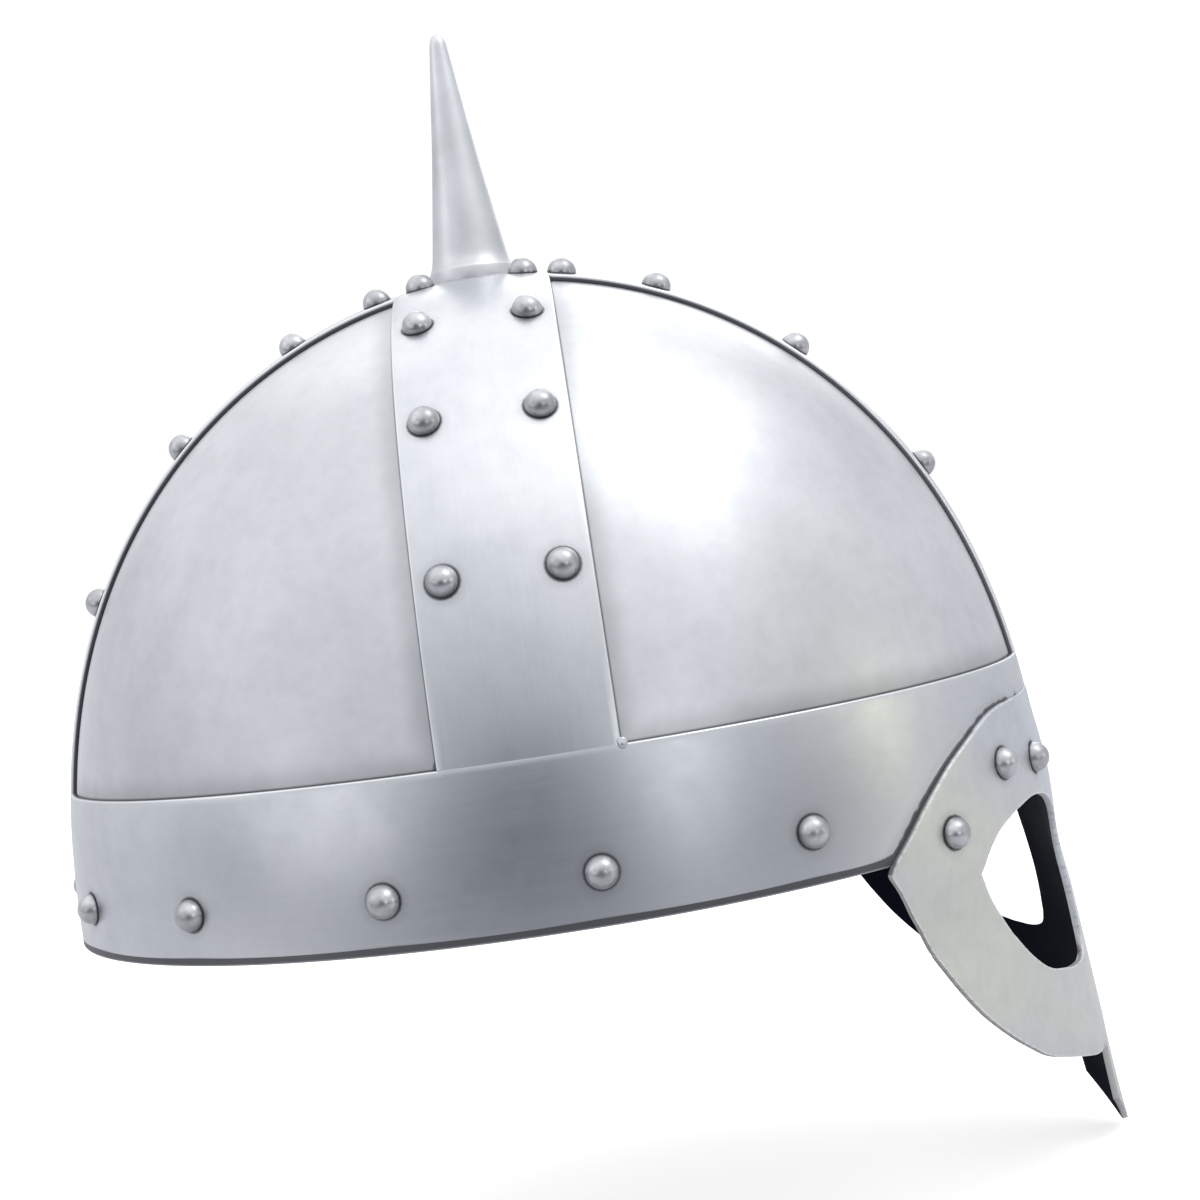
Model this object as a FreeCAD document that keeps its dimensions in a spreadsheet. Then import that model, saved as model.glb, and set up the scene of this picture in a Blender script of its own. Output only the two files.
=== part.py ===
import FreeCAD, Part
import math
import os

from FreeCAD import Matrix, Placement, Rotation, Vector

# Spectacle helmet: a riveted iron cap of four plates held under crossed bands,
# with a brow band, a spectacle guard with a nasal, a crown spike and a leather
# liner.  Units are millimetres.  Z is up, the face looks along -Y, and z = 0 is
# the flat rim of the brow band.  The wearer's right is -X.

os.makedirs("parts", exist_ok=True)
doc = FreeCAD.newDocument("SpectacleHelmet")

# --------------------------------------------------------------------------
# Dimensions
# --------------------------------------------------------------------------
DIMENSIONS = [
    ("HalfLength", 127.0, "Brow band face, centre to front or back"),
    ("HalfWidth", 105.0, "Brow band face, centre to side"),
    ("CrownHeight", 155.1, "Rim to the top of the crossed bands"),
    ("BowlCentre", 0.9, "Centre of the bowl along Y"),
    ("RiseExponent", 2.35, "Shape of the bowl, along its height"),
    ("FullnessExponent", 1.93, "Shape of the bowl, along its radius"),
    ("BandThickness", 1.5, "Sheet of the brow band and crossed bands"),
    ("PlateThickness", 1.2, "Sheet of the four dome plates"),
    ("GuardThickness", 1.6, "Sheet of the spectacle guard"),
    ("SheetGap", 0.1, "Play between two riveted sheets"),
    ("BandWidth", 40.0, "Crest band and side bands"),
    ("BrowHeight", 38.0, "Rim to the top edge of the brow band"),
    ("CrossingY", 2.4, "Centre line of the side bands and the spike"),
    ("PlateBottom", 7.0, "Lower edge of the dome plates"),
    ("PlateGap", 1.0, "Slot between two plates under a band"),
    ("PlateCornerRadius", 12.0, "Cut at the crown corner of each plate"),
    ("ArchCentreX", 38.0, "Brow arch over each eye, centre"),
    ("ArchHalfWidth", 30.0, "Brow arch, half width at the rim"),
    ("ArchHeight", 9.0, "Brow arch, height above the rim"),
    ("RivetHeadRadius", 3.75, "Domed rivet head"),
    ("RivetHeadHeight", 3.8, "Domed rivet head"),
    ("RivetCrownFlat", 0.7, "Small flat on top of each head, radius"),
    ("RivetShankRadius", 1.7, "Rivet shank"),
    ("RivetTailRadius", 2.5, "Peened tail"),
    ("RivetTailHeight", 1.0, "Peened tail"),
    ("RivetPlay", 0.12, "Play around the shank and under the tail"),
    ("RivetRow", 13.35, "Rivet row, off the band's centre line"),
    ("BrowRivetHeight", 11.8, "Brow rivets above the rim"),
    ("SpikeTipZ", 220.2, "Top of the crown spike"),
    ("SpikeFootRadius", 11.3, "Flared foot of the spike"),
    ("StudRadius", 3.0, "Stud of the spike through the crown"),
    ("StudEndZ", 145.0, "Lower end of the stud"),
    ("WasherRadius", 10.0, "Washer under the crown"),
    ("WasherBottomZ", 151.2, "Lower face of the washer"),
    ("NutAcrossCorners", 11.547, "Hexagon nut, 10 across flats"),
    ("NutHeight", 5.0, "Hexagon nut"),
    ("LinerGap", 0.3, "Play between metal and leather"),
    ("LinerThickness", 2.0, "Leather head band"),
    ("LinerBottom", 7.5, "Lower edge of the head band"),
    ("LinerTop", 42.0, "Upper edge of the head band"),
    ("TongueThickness", 1.8, "Leather tongues and crown ring"),
    ("TongueBottom", 22.0, "Lower end of each tongue"),
    ("TongueTopRadius", 24.0, "Upper end of each tongue, from the axis"),
    ("RingInnerRadius", 11.0, "Crown ring of the liner"),
    ("RingOuterRadius", 38.0, "Crown ring of the liner"),
]
TONGUE_COUNT = 8

sheet = doc.addObject("Spreadsheet::Sheet", "Dimensions")
for row, (alias, value, note) in enumerate(DIMENSIONS, start=1):
    sheet.set("A%d" % row, note)
    sheet.set("B%d" % row, str(value))
    sheet.setAlias("B%d" % row, alias)
doc.recompute()


def size(alias):
    """One dimension, read back from the sheet."""
    return float(sheet.get(alias))


NODES = []


def node(obj, label):
    """Registers a finished sub-part under its own label."""
    obj.Label = label
    NODES.append(obj)
    return obj


def feature(name, shape):
    """Document object that carries a computed shape."""
    obj = doc.addObject("Part::Feature", name)
    obj.Shape = shape
    obj.Placement = Placement()
    return obj


def bind(obj, **expressions):
    """Ties properties to sheet cells."""
    for prop, text in expressions.items():
        obj.setExpression(prop.replace("__", "."), text)
    return obj


def slab(name, length, width, height, x, y, z):
    """Box whose six values are all expressions."""
    box = doc.addObject("Part::Box", name)
    bind(box, Length=length, Width=width, Height=height)
    bind(box, Placement__Base__x=x, Placement__Base__y=y, Placement__Base__z=z)
    return box


def rod(name, radius, height, x, y, z):
    """Upright cylinder whose values are all expressions."""
    cylinder = doc.addObject("Part::Cylinder", name)
    bind(cylinder, Radius=radius, Height=height)
    bind(cylinder, Placement__Base__x=x, Placement__Base__y=y, Placement__Base__z=z)
    return cylinder


def common(name, *objects):
    """Volume shared by all the objects."""
    result = doc.addObject("Part::MultiCommon", name)
    result.Shapes = list(objects)
    return result


def cut(name, base, tool):
    """Base with the tool taken out."""
    result = doc.addObject("Part::Cut", name)
    result.Base = base
    result.Tool = tool
    return result


# --------------------------------------------------------------------------
# Bowl surface: an oval superellipsoid, offset inwards or outwards
# --------------------------------------------------------------------------
def bowl_radius(z, offset=0.0):
    """Fraction of the rim radius that is left at height z."""
    fraction = max(z, 0.0) / (size("CrownHeight") + offset)
    inside = max(1.0 - fraction ** size("RiseExponent"), 0.0)
    return inside ** (1.0 / size("FullnessExponent"))


def bowl_solid(offset, skirt=0.0):
    """Solid bowl whose skin lies offset outside the bands' outer face."""
    steps = 18
    half_length = size("HalfLength") + offset
    height = size("CrownHeight") + offset
    squash = (size("HalfWidth") + offset) / half_length
    points = []
    for step in range(steps + 1):
        angle = math.radians(90.0 * step / steps)
        z = height * math.sin(angle) ** (2.0 / size("RiseExponent"))
        y = half_length * max(math.cos(angle), 0.0) ** (2.0 / size("FullnessExponent"))
        points.append(Vector(0, y if step < steps else 0.0, z))
    outline = Part.BSplineCurve()
    outline.interpolate(Points=points, InitialTangent=Vector(0, 0, 1), FinalTangent=Vector(0, -1, 0))
    edges = [
        Part.makeLine(Vector(0, 0, -skirt), Vector(0, half_length, -skirt)),
        outline.toShape(),
        Part.makeLine(points[-1], Vector(0, 0, -skirt)),
    ]
    if skirt > 0:
        edges.insert(1, Part.makeLine(Vector(0, half_length, -skirt), points[0]))
    quarter = Part.Face(Part.Wire(edges)).revolve(Vector(0, 0, 0), Vector(0, 0, 1), 90)
    stretch = Matrix()
    stretch.A11 = squash
    quarters = []
    for turn in range(4):
        turned = quarter.copy()
        turned.rotate(Vector(0, 0, 0), Vector(0, 0, 1), 90 * turn)
        quarters.append(turned.transformGeometry(stretch))
    oval = quarters[0].multiFuse(quarters[1:])
    oval.translate(Vector(0, size("BowlCentre"), 0))
    return oval


def bowl_shell(outer, thickness):
    """Skin between two offsets of the bowl."""
    return bowl_solid(outer).cut(bowl_solid(outer - thickness, skirt=5.0))


def bowl_point(z, offset=0.0, x=None, y=None, front=True, right=True, angle=None):
    """Point on the bowl at height z, found from x, from y or from a plan angle."""
    a = (size("HalfLength") + offset) * bowl_radius(z, offset)
    b = (size("HalfWidth") + offset) * bowl_radius(z, offset)
    centre = size("BowlCentre")
    if angle is not None:
        return Vector(b * math.sin(angle), centre - a * math.cos(angle), z)
    if x is not None:
        depth = a * math.sqrt(1.0 - (x / b) ** 2)
        return Vector(x, centre - depth if front else centre + depth, z)
    reach = b * math.sqrt(1.0 - ((y - centre) / a) ** 2)
    return Vector(-reach if right else reach, y, z)


def bowl_normal(point):
    """Outward direction of the bowl's skin at a point on it."""
    step = 0.01
    a = size("HalfLength")
    b = size("HalfWidth")
    slope = (bowl_radius(point.z + step) ** 2 - bowl_radius(point.z - step) ** 2) / (2 * step)
    centre = size("BowlCentre")
    normal = Vector(2 * point.x / b ** 2, 2 * (point.y - centre) / a ** 2, -slope)
    return normal.normalize()


# --------------------------------------------------------------------------
# Rivets: positions, drills and solids
# --------------------------------------------------------------------------
CREST_FRONT_Z = (151.7, 144.5, 123.9, 89.4)
CREST_REAR_Z = (150.7, 142.7, 121.2, 85.1)
SIDE_BAND_Z = (139.2, 114.2, 77.9)
BROW_ANGLES = (1.103, 1.489, 1.868, 2.285, 2.684)
GUARD_RIVETS = ((41.0, 13.5), (58.2, 15.6), (75.5, 3.8))

row_offset = size("RivetRow")
band_stack = size("BandThickness") + size("SheetGap") + size("PlateThickness")
liner_stack = band_stack + size("LinerGap") + size("LinerThickness")
guard_skin = size("GuardThickness") + size("SheetGap")


def crown_seats():
    seats = []
    for x in (-row_offset, row_offset):
        for dy in (-row_offset, row_offset):
            y = size("CrossingY") + dy
            z = size("CrownHeight")
            for _ in range(30):
                a = size("HalfLength") ** 2
                b = size("HalfWidth") ** 2
                level = (x * x / b + (y - size("BowlCentre")) ** 2 / a) ** (size("FullnessExponent") / 2)
                z = size("CrownHeight") * (1.0 - level) ** (1.0 / size("RiseExponent"))
            seats.append(Vector(x, y, z))
    return seats


def crest_seats(heights, front):
    seats = []
    for z in heights:
        for x in (-row_offset, row_offset):
            seats.append(bowl_point(z, x=x, front=front))
    return seats


def side_seats(right):
    seats = []
    for z in SIDE_BAND_Z:
        for dy in (-row_offset, row_offset):
            seats.append(bowl_point(z, y=size("CrossingY") + dy, right=right))
    return seats


def brow_seats():
    seats = [bowl_point(size("BrowRivetHeight"), angle=math.pi)]
    for angle in BROW_ANGLES:
        for side in (-1, 1):
            seats.append(bowl_point(size("BrowRivetHeight"), angle=side * angle))
    return seats


def guard_seats(low):
    seats = []
    for x, z in GUARD_RIVETS:
        if (z < size("PlateBottom")) != low:
            continue
        for side in (-1, 1):
            seats.append(bowl_point(z, offset=guard_skin, x=side * x))
    return seats


def rivet_solid(grip):
    """Domed rivet on the Z axis, head up, with a peened tail below the grip."""
    head = size("RivetHeadRadius")
    height = size("RivetHeadHeight")
    flat = size("RivetCrownFlat")
    shank = size("RivetShankRadius")
    tail = size("RivetTailRadius")
    under = -grip - size("RivetPlay")
    end = under - size("RivetTailHeight")
    shoulder = Vector(head * math.cos(math.radians(42)), 0, height * math.sin(math.radians(46)))
    edges = [
        Part.Arc(Vector(head, 0, 0), shoulder, Vector(flat, 0, height)).toShape(),
        Part.makeLine(Vector(flat, 0, height), Vector(0, 0, height)),
        Part.makeLine(Vector(0, 0, height), Vector(0, 0, end)),
        Part.makeLine(Vector(0, 0, end), Vector(0.6 * tail, 0, end)),
        Part.makeLine(Vector(0.6 * tail, 0, end), Vector(tail, 0, under)),
        Part.makeLine(Vector(tail, 0, under), Vector(shank, 0, under)),
        Part.makeLine(Vector(shank, 0, under), Vector(shank, 0, 0)),
        Part.makeLine(Vector(shank, 0, 0), Vector(head, 0, 0)),
    ]
    return Part.Face(Part.Wire(edges)).revolve(Vector(0, 0, 0), Vector(0, 0, 1), 360)


def seated(shape, seat):
    """Copy of a shape stood on the bowl at a seat."""
    copy = shape.copy()
    copy.Placement = Placement(seat, Rotation(Vector(0, 0, 1), bowl_normal(seat)))
    return copy


def rivet_group(seats, grip):
    pattern = rivet_solid(grip)
    return [seated(pattern, seat) for seat in seats]


def drills(seats):
    """Round holes for a set of rivets."""
    radius = size("RivetShankRadius") + size("RivetPlay")
    pattern = Part.makeCylinder(radius, 20.0, Vector(0, 0, -14.0))
    return [seated(pattern, seat) for seat in seats]


brow_drill = drills(brow_seats())
crown_drill = drills(crown_seats())
crest_drill = drills(crest_seats(CREST_FRONT_Z, True) + crest_seats(CREST_REAR_Z, False))
side_right_drill = drills(side_seats(True))
side_left_drill = drills(side_seats(False))
guard_high_drill = drills(guard_seats(low=False))
guard_low_drill = drills(guard_seats(low=True))
guard_drill = guard_high_drill + guard_low_drill

brow_holes = feature("BrowHoles", Part.makeCompound(brow_drill + guard_drill))
crest_holes = feature("CrestHoles", Part.makeCompound(crest_drill + crown_drill))
side_right_holes = feature("SideRightHoles", Part.makeCompound(side_right_drill))
side_left_holes = feature("SideLeftHoles", Part.makeCompound(side_left_drill))
every_drill = brow_drill + crown_drill + crest_drill + side_right_drill + side_left_drill
plate_holes = feature("PlateHoles", Part.makeCompound(every_drill + guard_high_drill))
liner_holes = feature("LinerHoles", Part.makeCompound(brow_drill + guard_high_drill))


# --------------------------------------------------------------------------
# Brow band: closed hoop with an arch cut over each eye
# --------------------------------------------------------------------------
def arch_prisms(grow):
    """Half-elliptical cutters over both eyes, running from the front to the middle."""
    prisms = []
    half = size("ArchHalfWidth") + grow
    rise = size("ArchHeight") + grow
    for side in (-1, 1):
        centre = Vector(side * size("ArchCentreX"), 0, 0)
        oval = Part.Ellipse(Vector(half, 0, 0), Vector(0, 0, rise), Vector(0, 0, 0))
        arc = Part.ArcOfEllipse(oval, 0, math.pi).toShape()
        base = [
            Part.makeLine(Vector(-half, 0, 0), Vector(-half, 0, -3)),
            Part.makeLine(Vector(-half, 0, -3), Vector(half, 0, -3)),
            Part.makeLine(Vector(half, 0, -3), Vector(half, 0, 0)),
        ]
        face = Part.Face(Part.Wire(Part.__sortEdges__([arc] + base)))
        prism = face.extrude(Vector(0, -200, 0))
        prism.translate(centre)
        prisms.append(prism)
    return prisms


band_shell = feature("BandShell", bowl_shell(0.0, size("BandThickness")))
brow_zone = slab(
    "BrowZone",
    "4 * Dimensions.HalfWidth",
    "4 * Dimensions.HalfLength",
    "Dimensions.BrowHeight",
    "-2 * Dimensions.HalfWidth",
    "-2 * Dimensions.HalfLength",
    "0",
)
brow_hoop = common("BrowHoop", band_shell, brow_zone)
brow_arches = feature("BrowArches", Part.makeCompound(arch_prisms(0.0)))
brow_arched = cut("BrowArched", brow_hoop, brow_arches)
node(cut("BrowBand", brow_arched, brow_holes), "brow_band")

# --------------------------------------------------------------------------
# Crest band over the crown, front to back, and a side band on each side,
# butted against the crest band and against the top edge of the brow band
# --------------------------------------------------------------------------
crest_zone = slab(
    "CrestZone",
    "Dimensions.BandWidth",
    "4 * Dimensions.HalfLength",
    "Dimensions.CrownHeight",
    "-Dimensions.BandWidth / 2",
    "-2 * Dimensions.HalfLength",
    "Dimensions.BrowHeight",
)
crest_strip = common("CrestStrip", band_shell, crest_zone)
crest_drilled = cut("CrestDrilled", crest_strip, crest_holes)
stud_hole = rod(
    "StudHole",
    "Dimensions.StudRadius + 0.1",
    "40",
    "0",
    "Dimensions.CrossingY",
    "Dimensions.CrownHeight - 20",
)
node(cut("CrestBand", crest_drilled, stud_hole), "crest_band")

for word, holes, x_start in (
    ("Right", side_right_holes, "-2 * Dimensions.HalfWidth"),
    ("Left", side_left_holes, "Dimensions.BandWidth / 2"),
):
    zone = slab(
        "Side%sZone" % word,
        "2 * Dimensions.HalfWidth - Dimensions.BandWidth / 2",
        "Dimensions.BandWidth",
        "Dimensions.CrownHeight",
        x_start,
        "Dimensions.CrossingY - Dimensions.BandWidth / 2",
        "Dimensions.BrowHeight",
    )
    strip = common("Side%sStrip" % word, band_shell, zone)
    node(cut("Side%sBand" % word, strip, holes), "side_band_" + word.lower())

# --------------------------------------------------------------------------
# Four dome plates, tucked under the bands
# --------------------------------------------------------------------------
plate_skin = -size("BandThickness") - size("SheetGap")
plate_shell = feature("PlateShell", bowl_shell(plate_skin, size("PlateThickness")))
plate_drilled = cut("PlateDrilled", plate_shell, plate_holes)
plate_arches = feature("PlateArches", Part.makeCompound(arch_prisms(1.0)))
plate_arched = cut("PlateArched", plate_drilled, plate_arches)
crown_hole = rod(
    "CrownHole",
    "Dimensions.PlateCornerRadius",
    "60",
    "0",
    "Dimensions.CrossingY",
    "Dimensions.CrownHeight - 50",
)
plate_open = cut("PlateOpen", plate_arched, crown_hole)
for depth_word, y_start in (
    ("Front", "Dimensions.CrossingY - Dimensions.PlateGap / 2 - 2 * Dimensions.HalfLength"),
    ("Rear", "Dimensions.CrossingY + Dimensions.PlateGap / 2"),
):
    for side_word, x_start in (
        ("Right", "-Dimensions.PlateGap / 2 - 2 * Dimensions.HalfWidth"),
        ("Left", "Dimensions.PlateGap / 2"),
    ):
        zone = slab(
            "Plate%s%sZone" % (depth_word, side_word),
            "2 * Dimensions.HalfWidth",
            "2 * Dimensions.HalfLength",
            "2 * Dimensions.CrownHeight",
            x_start,
            y_start,
            "Dimensions.PlateBottom",
        )
        plate = common("Plate%s%s" % (depth_word, side_word), plate_open, zone)
        node(plate, "panel_%s_%s" % (depth_word.lower(), side_word.lower()))


# --------------------------------------------------------------------------
# Spectacle guard: one sheet creased down the nose, two eye openings
# --------------------------------------------------------------------------
GUARD_NOSE = 0.55
GUARD_LEAN = 0.0925
GUARD_SWEEP = 0.05
GUARD_CURL = 0.00855
GUARD_BEND = -0.000005
GUARD_BLEND = 26.0
NASAL_Z = -60.0
NASAL_HOOK = 0.0008
NASAL_CREASE = 0.0035
WING_ANGLE = math.radians(33.0)
WING_ORIGIN = Vector(0, -130, 0)


def guard_skin_y(x, z):
    """Depth of the guard's outer face: it lies on the brow band above the rim
    and turns into two swept cheeks that meet on the nose ridge below it.  Down
    the nasal the ridge reaches forward and its crease sharpens."""
    a = (size("HalfLength") + guard_skin) * bowl_radius(z, guard_skin)
    b = (size("HalfWidth") + guard_skin) * bowl_radius(z, guard_skin)
    on_bowl = size("BowlCentre") - a * math.sqrt(1.0 - (x / b) ** 2)
    low = max(NASAL_Z - z, 0.0)
    nose = size("BowlCentre") - size("HalfLength") - guard_skin - GUARD_NOSE
    ridge = nose + GUARD_LEAN * min(z, 0.0) - NASAL_HOOK * low * low
    slope = GUARD_SWEEP + NASAL_CREASE * low
    swept = ridge + slope * x + GUARD_CURL * x ** 2 + GUARD_BEND * x ** 3
    share = min(max(-z / GUARD_BLEND, 0.0), 1.0)
    share = share * share * (3.0 - 2.0 * share)
    return (1.0 - share) * on_bowl + share * swept


def guard_point(x, z, depth):
    """Point on the guard, depth below its outer face along the sheet's normal."""
    step = 0.05
    along = (guard_skin_y(x + step, z) - guard_skin_y(x - step, z)) / (2 * step)
    down = (guard_skin_y(x, z + step) - guard_skin_y(x, z - step)) / (2 * step)
    inward = Vector(-along, 1.0, -down).normalize()
    return Vector(x, guard_skin_y(x, z), z) + inward * depth


def guard_face(depth):
    """Spline face through a grid of points on one side of the nose."""
    columns = [-3.0 + 4.5 * i for i in range(23)]
    rows = [-96.0 + 4.0 * j for j in range(33)]
    grid = [[guard_point(x, z, depth) for z in rows] for x in columns]
    surface = Part.BSplineSurface()
    surface.interpolate(grid)
    return surface.toShape()


def guard_sheet(thickness):
    """Untrimmed sheet on the wearer's left of the nose."""
    outer = guard_face(0.0)
    inner = guard_face(thickness)
    sides = []
    for outer_edge, inner_edge in zip(outer.Edges, inner.Edges):
        sides.append(Part.makeRuledSurface(outer_edge, inner_edge))
    shell = Part.Compound([outer, inner] + sides)
    sewn = Part.makeShell(shell.Faces)
    sewn.sewShape()
    solid = Part.makeSolid(Part.Shell(sewn.Faces))
    if solid.Volume < 0:
        solid.reverse()
    return solid


def wing_vector(s, z):
    """Point given by its run along the wing and its height."""
    return WING_ORIGIN + Vector(s * math.cos(WING_ANGLE), s * math.sin(WING_ANGLE), z)


def wing_spline(points):
    curve = Part.BSplineCurve()
    curve.interpolate([wing_vector(s, z) for s, z in points])
    return curve.toShape()


def wing_line(start, end):
    return Part.makeLine(wing_vector(*start), wing_vector(*end))


def wing_prism(edges):
    """Outline pushed square through the wing, both ways."""
    square = Vector(math.sin(WING_ANGLE), -math.cos(WING_ANGLE), 0)
    face = Part.Face(Part.Wire(edges))
    face.translate(square * -60)
    return face.extrude(square * 120)


GUARD_TOP = 29.2
upper_edge = [
    (48.0, GUARD_TOP),
    (56.8, 28.8),
    (64.0, 27.5),
    (71.2, 24.7),
    (82.1, 19.2),
    (91.5, 12.1),
    (99.2, 4.4),
    (102.4, 1.2),
]
outer_tip = [(102.4, 1.2), (104.3, -1.6), (103.2, -3.9)]
lower_edge = [
    (103.2, -3.9),
    (97.4, -12.1),
    (92.7, -17.8),
    (86.8, -26.3),
    (81.5, -34.1),
    (75.4, -41.5),
    (67.9, -48.2),
    (60.3, -53.6),
    (51.1, -58.5),
    (31.5, -64.1),
    (23.5, -65.8),
    (18.2, -66.0),
]
notch = [(18.2, -66.0), (15.3, -64.8), (13.6, -65.6), (12.9, -68.0)]
nasal_side = ((12.9, -68.0), (10.5, -81.8))
nasal_tip = ((10.5, -81.8), (-4.2, -91.8))

outline = [
    wing_line((-12.0, GUARD_TOP), upper_edge[0]),
    wing_spline(upper_edge),
    wing_spline(outer_tip),
    wing_spline(lower_edge),
    wing_spline(notch),
    wing_line(*nasal_side),
    wing_line(*nasal_tip),
    wing_line(nasal_tip[1], (-12.0, -91.8)),
    wing_line((-12.0, -91.8), (-12.0, GUARD_TOP)),
]
eye_top = [
    (16.3, -37.0),
    (15.7, -28.0),
    (16.2, -20.0),
    (17.5, -13.5),
    (20.1, -7.5),
    (24.6, -2.4),
    (31.3, 1.8),
    (39.5, 4.2),
    (47.7, 5.0),
    (54.5, 4.3),
    (60.8, 3.1),
    (68.1, 0.6),
    (72.6, -2.9),
    (75.2, -8.0),
]
eye_bottom = [
    (75.2, -8.0),
    (69.1, -14.8),
    (63.4, -20.7),
    (58.3, -27.0),
    (52.4, -33.2),
    (44.8, -38.2),
    (34.2, -40.8),
    (28.7, -41.6),
    (22.2, -41.8),
    (17.8, -40.4),
    (16.3, -37.0),
]
eye = [wing_spline(eye_top), wing_spline(eye_bottom)]
half_space = Part.makeBox(120, 120, 140, Vector(0, -160, -100))
wing = guard_sheet(size("GuardThickness")).common(half_space)
wing = wing.common(wing_prism(outline)).cut(wing_prism(eye))
other_wing = wing.mirror(Vector(0, 0, 0), Vector(1, 0, 0))
guard_blank = feature("GuardBlank", wing.fuse(other_wing).removeSplitter())
guard_holes = feature("GuardHoles", Part.makeCompound(guard_drill))
node(cut("SpectacleGuard", guard_blank, guard_holes), "spectacle_guard")


# --------------------------------------------------------------------------
# Crown spike with its stud, washer and nut
# --------------------------------------------------------------------------
def spike_solid():
    """Turned spike on the Z axis: round tip, slow taper, flared foot."""
    tip = size("SpikeTipZ")
    foot = size("SpikeFootRadius")
    stud = size("StudRadius")
    nose = Part.Arc(Vector(0, 0, tip), Vector(1.45, 0, tip - 0.75), Vector(2.15, 0, tip - 2.6)).toShape()
    taper_points = [(2.15, tip - 2.6), (4.5, 200.0), (7.3, 179.0), (8.9, 168.4), (9.7, 163.2), (foot, 158.0)]
    taper = Part.BSplineCurve()
    taper.interpolate([Vector(r, 0, z) for r, z in taper_points])
    edges = [
        nose,
        taper.toShape(),
        Part.makeLine(Vector(foot, 0, 158.0), Vector(foot, 0, 152.0)),
        Part.makeLine(Vector(foot, 0, 152.0), Vector(0, 0, 152.0)),
        Part.makeLine(Vector(0, 0, 152.0), Vector(0, 0, tip)),
    ]
    body = Part.Face(Part.Wire(edges)).revolve(Vector(0, 0, 0), Vector(0, 0, 1), 360)
    body.translate(Vector(0, size("CrossingY"), 0))
    shaft_height = 170.0 - size("StudEndZ")
    shaft = Part.makeCylinder(stud, shaft_height, Vector(0, size("CrossingY"), size("StudEndZ")))
    return body.cut(bowl_solid(0.02)).fuse(shaft).removeSplitter()


node(feature("Spike", spike_solid()), "crown_spike")

washer_blank = rod(
    "WasherBlank",
    "Dimensions.WasherRadius",
    "10",
    "0",
    "Dimensions.CrossingY",
    "Dimensions.WasherBottomZ",
)
under_crown = feature("UnderCrown", bowl_solid(-size("BandThickness") - 0.05))
washer_fitted = common("WasherFitted", washer_blank, under_crown)
node(cut("Washer", washer_fitted, stud_hole), "crown_washer")

nut_blank = doc.addObject("Part::Prism", "NutBlank")
nut_blank.Polygon = 6
bind(nut_blank, Circumradius="Dimensions.NutAcrossCorners / 2", Height="Dimensions.NutHeight")
bind(nut_blank, Placement__Base__y="Dimensions.CrossingY")
bind(nut_blank, Placement__Base__z="Dimensions.WasherBottomZ - Dimensions.NutHeight")
node(cut("Nut", nut_blank, stud_hole), "crown_nut")

# --------------------------------------------------------------------------
# Rivets, grouped by the band they hold
# --------------------------------------------------------------------------
RIVET_GROUPS = (
    ("RivetsCrown", "rivets_crown", rivet_group(crown_seats(), band_stack)),
    ("RivetsCrestFront", "rivets_crest_front", rivet_group(crest_seats(CREST_FRONT_Z, True), band_stack)),
    ("RivetsCrestRear", "rivets_crest_rear", rivet_group(crest_seats(CREST_REAR_Z, False), band_stack)),
    ("RivetsSideRight", "rivets_side_right", rivet_group(side_seats(True), band_stack)),
    ("RivetsSideLeft", "rivets_side_left", rivet_group(side_seats(False), band_stack)),
    ("RivetsBrow", "rivets_brow", rivet_group(brow_seats(), liner_stack)),
    (
        "RivetsGuard",
        "rivets_guard",
        rivet_group(guard_seats(low=False), guard_skin + liner_stack)
        + rivet_group(guard_seats(low=True), guard_skin + size("BandThickness")),
    ),
)
for name, label, solids in RIVET_GROUPS:
    node(feature(name, Part.makeCompound(solids)), label)

# --------------------------------------------------------------------------
# Leather liner: head band, tongues and crown ring
# --------------------------------------------------------------------------
liner_skin = -band_stack - size("LinerGap")
liner_shell = feature("LinerShell", bowl_shell(liner_skin, size("LinerThickness")))
liner_zone = slab(
    "LinerZone",
    "4 * Dimensions.HalfWidth",
    "4 * Dimensions.HalfLength",
    "Dimensions.LinerTop - Dimensions.LinerBottom",
    "-2 * Dimensions.HalfWidth",
    "-2 * Dimensions.HalfLength",
    "Dimensions.LinerBottom",
)
liner_hoop = common("LinerHoop", liner_shell, liner_zone)
node(cut("LinerBand", liner_hoop, liner_holes), "liner_band")

tongue_skin = liner_skin - size("LinerThickness") - size("LinerGap")
tongue_shell = bowl_shell(tongue_skin, size("TongueThickness"))


def tongue_sector(turn):
    """Plan wedge that one tongue is cut from."""
    inner = size("TongueTopRadius")
    spread = math.radians(180.0 / TONGUE_COUNT - 1.5)
    corners = []
    for reach, lean in ((inner, -1), (200.0, -1), (200.0, 1), (inner, 1)):
        heading = turn + lean * spread
        corners.append(Vector(reach * math.sin(heading), -reach * math.cos(heading), size("TongueBottom")))
    wire = Part.makePolygon(corners + [corners[0]])
    wedge = Part.Face(wire).extrude(Vector(0, 0, 200))
    wedge.translate(Vector(0, size("CrossingY"), 0))
    return wedge


tongues = []
for index in range(TONGUE_COUNT):
    turn = 2 * math.pi * (index + 0.5) / TONGUE_COUNT
    piece = tongue_shell.common(tongue_sector(turn))
    tongues += piece.Solids
node(feature("LinerTongues", Part.makeCompound(tongues)), "liner_tongues")

ring_skin = tongue_skin - size("TongueThickness") - size("LinerGap")
ring_shell = feature("RingShell", bowl_shell(ring_skin, size("TongueThickness")))
ring_outside = rod("RingOutside", "Dimensions.RingOuterRadius", "80", "0", "Dimensions.CrossingY", "90")
ring_inside = rod("RingInside", "Dimensions.RingInnerRadius", "80", "0", "Dimensions.CrossingY", "90")
ring_disc = common("RingDisc", ring_shell, ring_outside)
node(cut("LinerRing", ring_disc, ring_inside), "liner_crown_ring")

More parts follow.
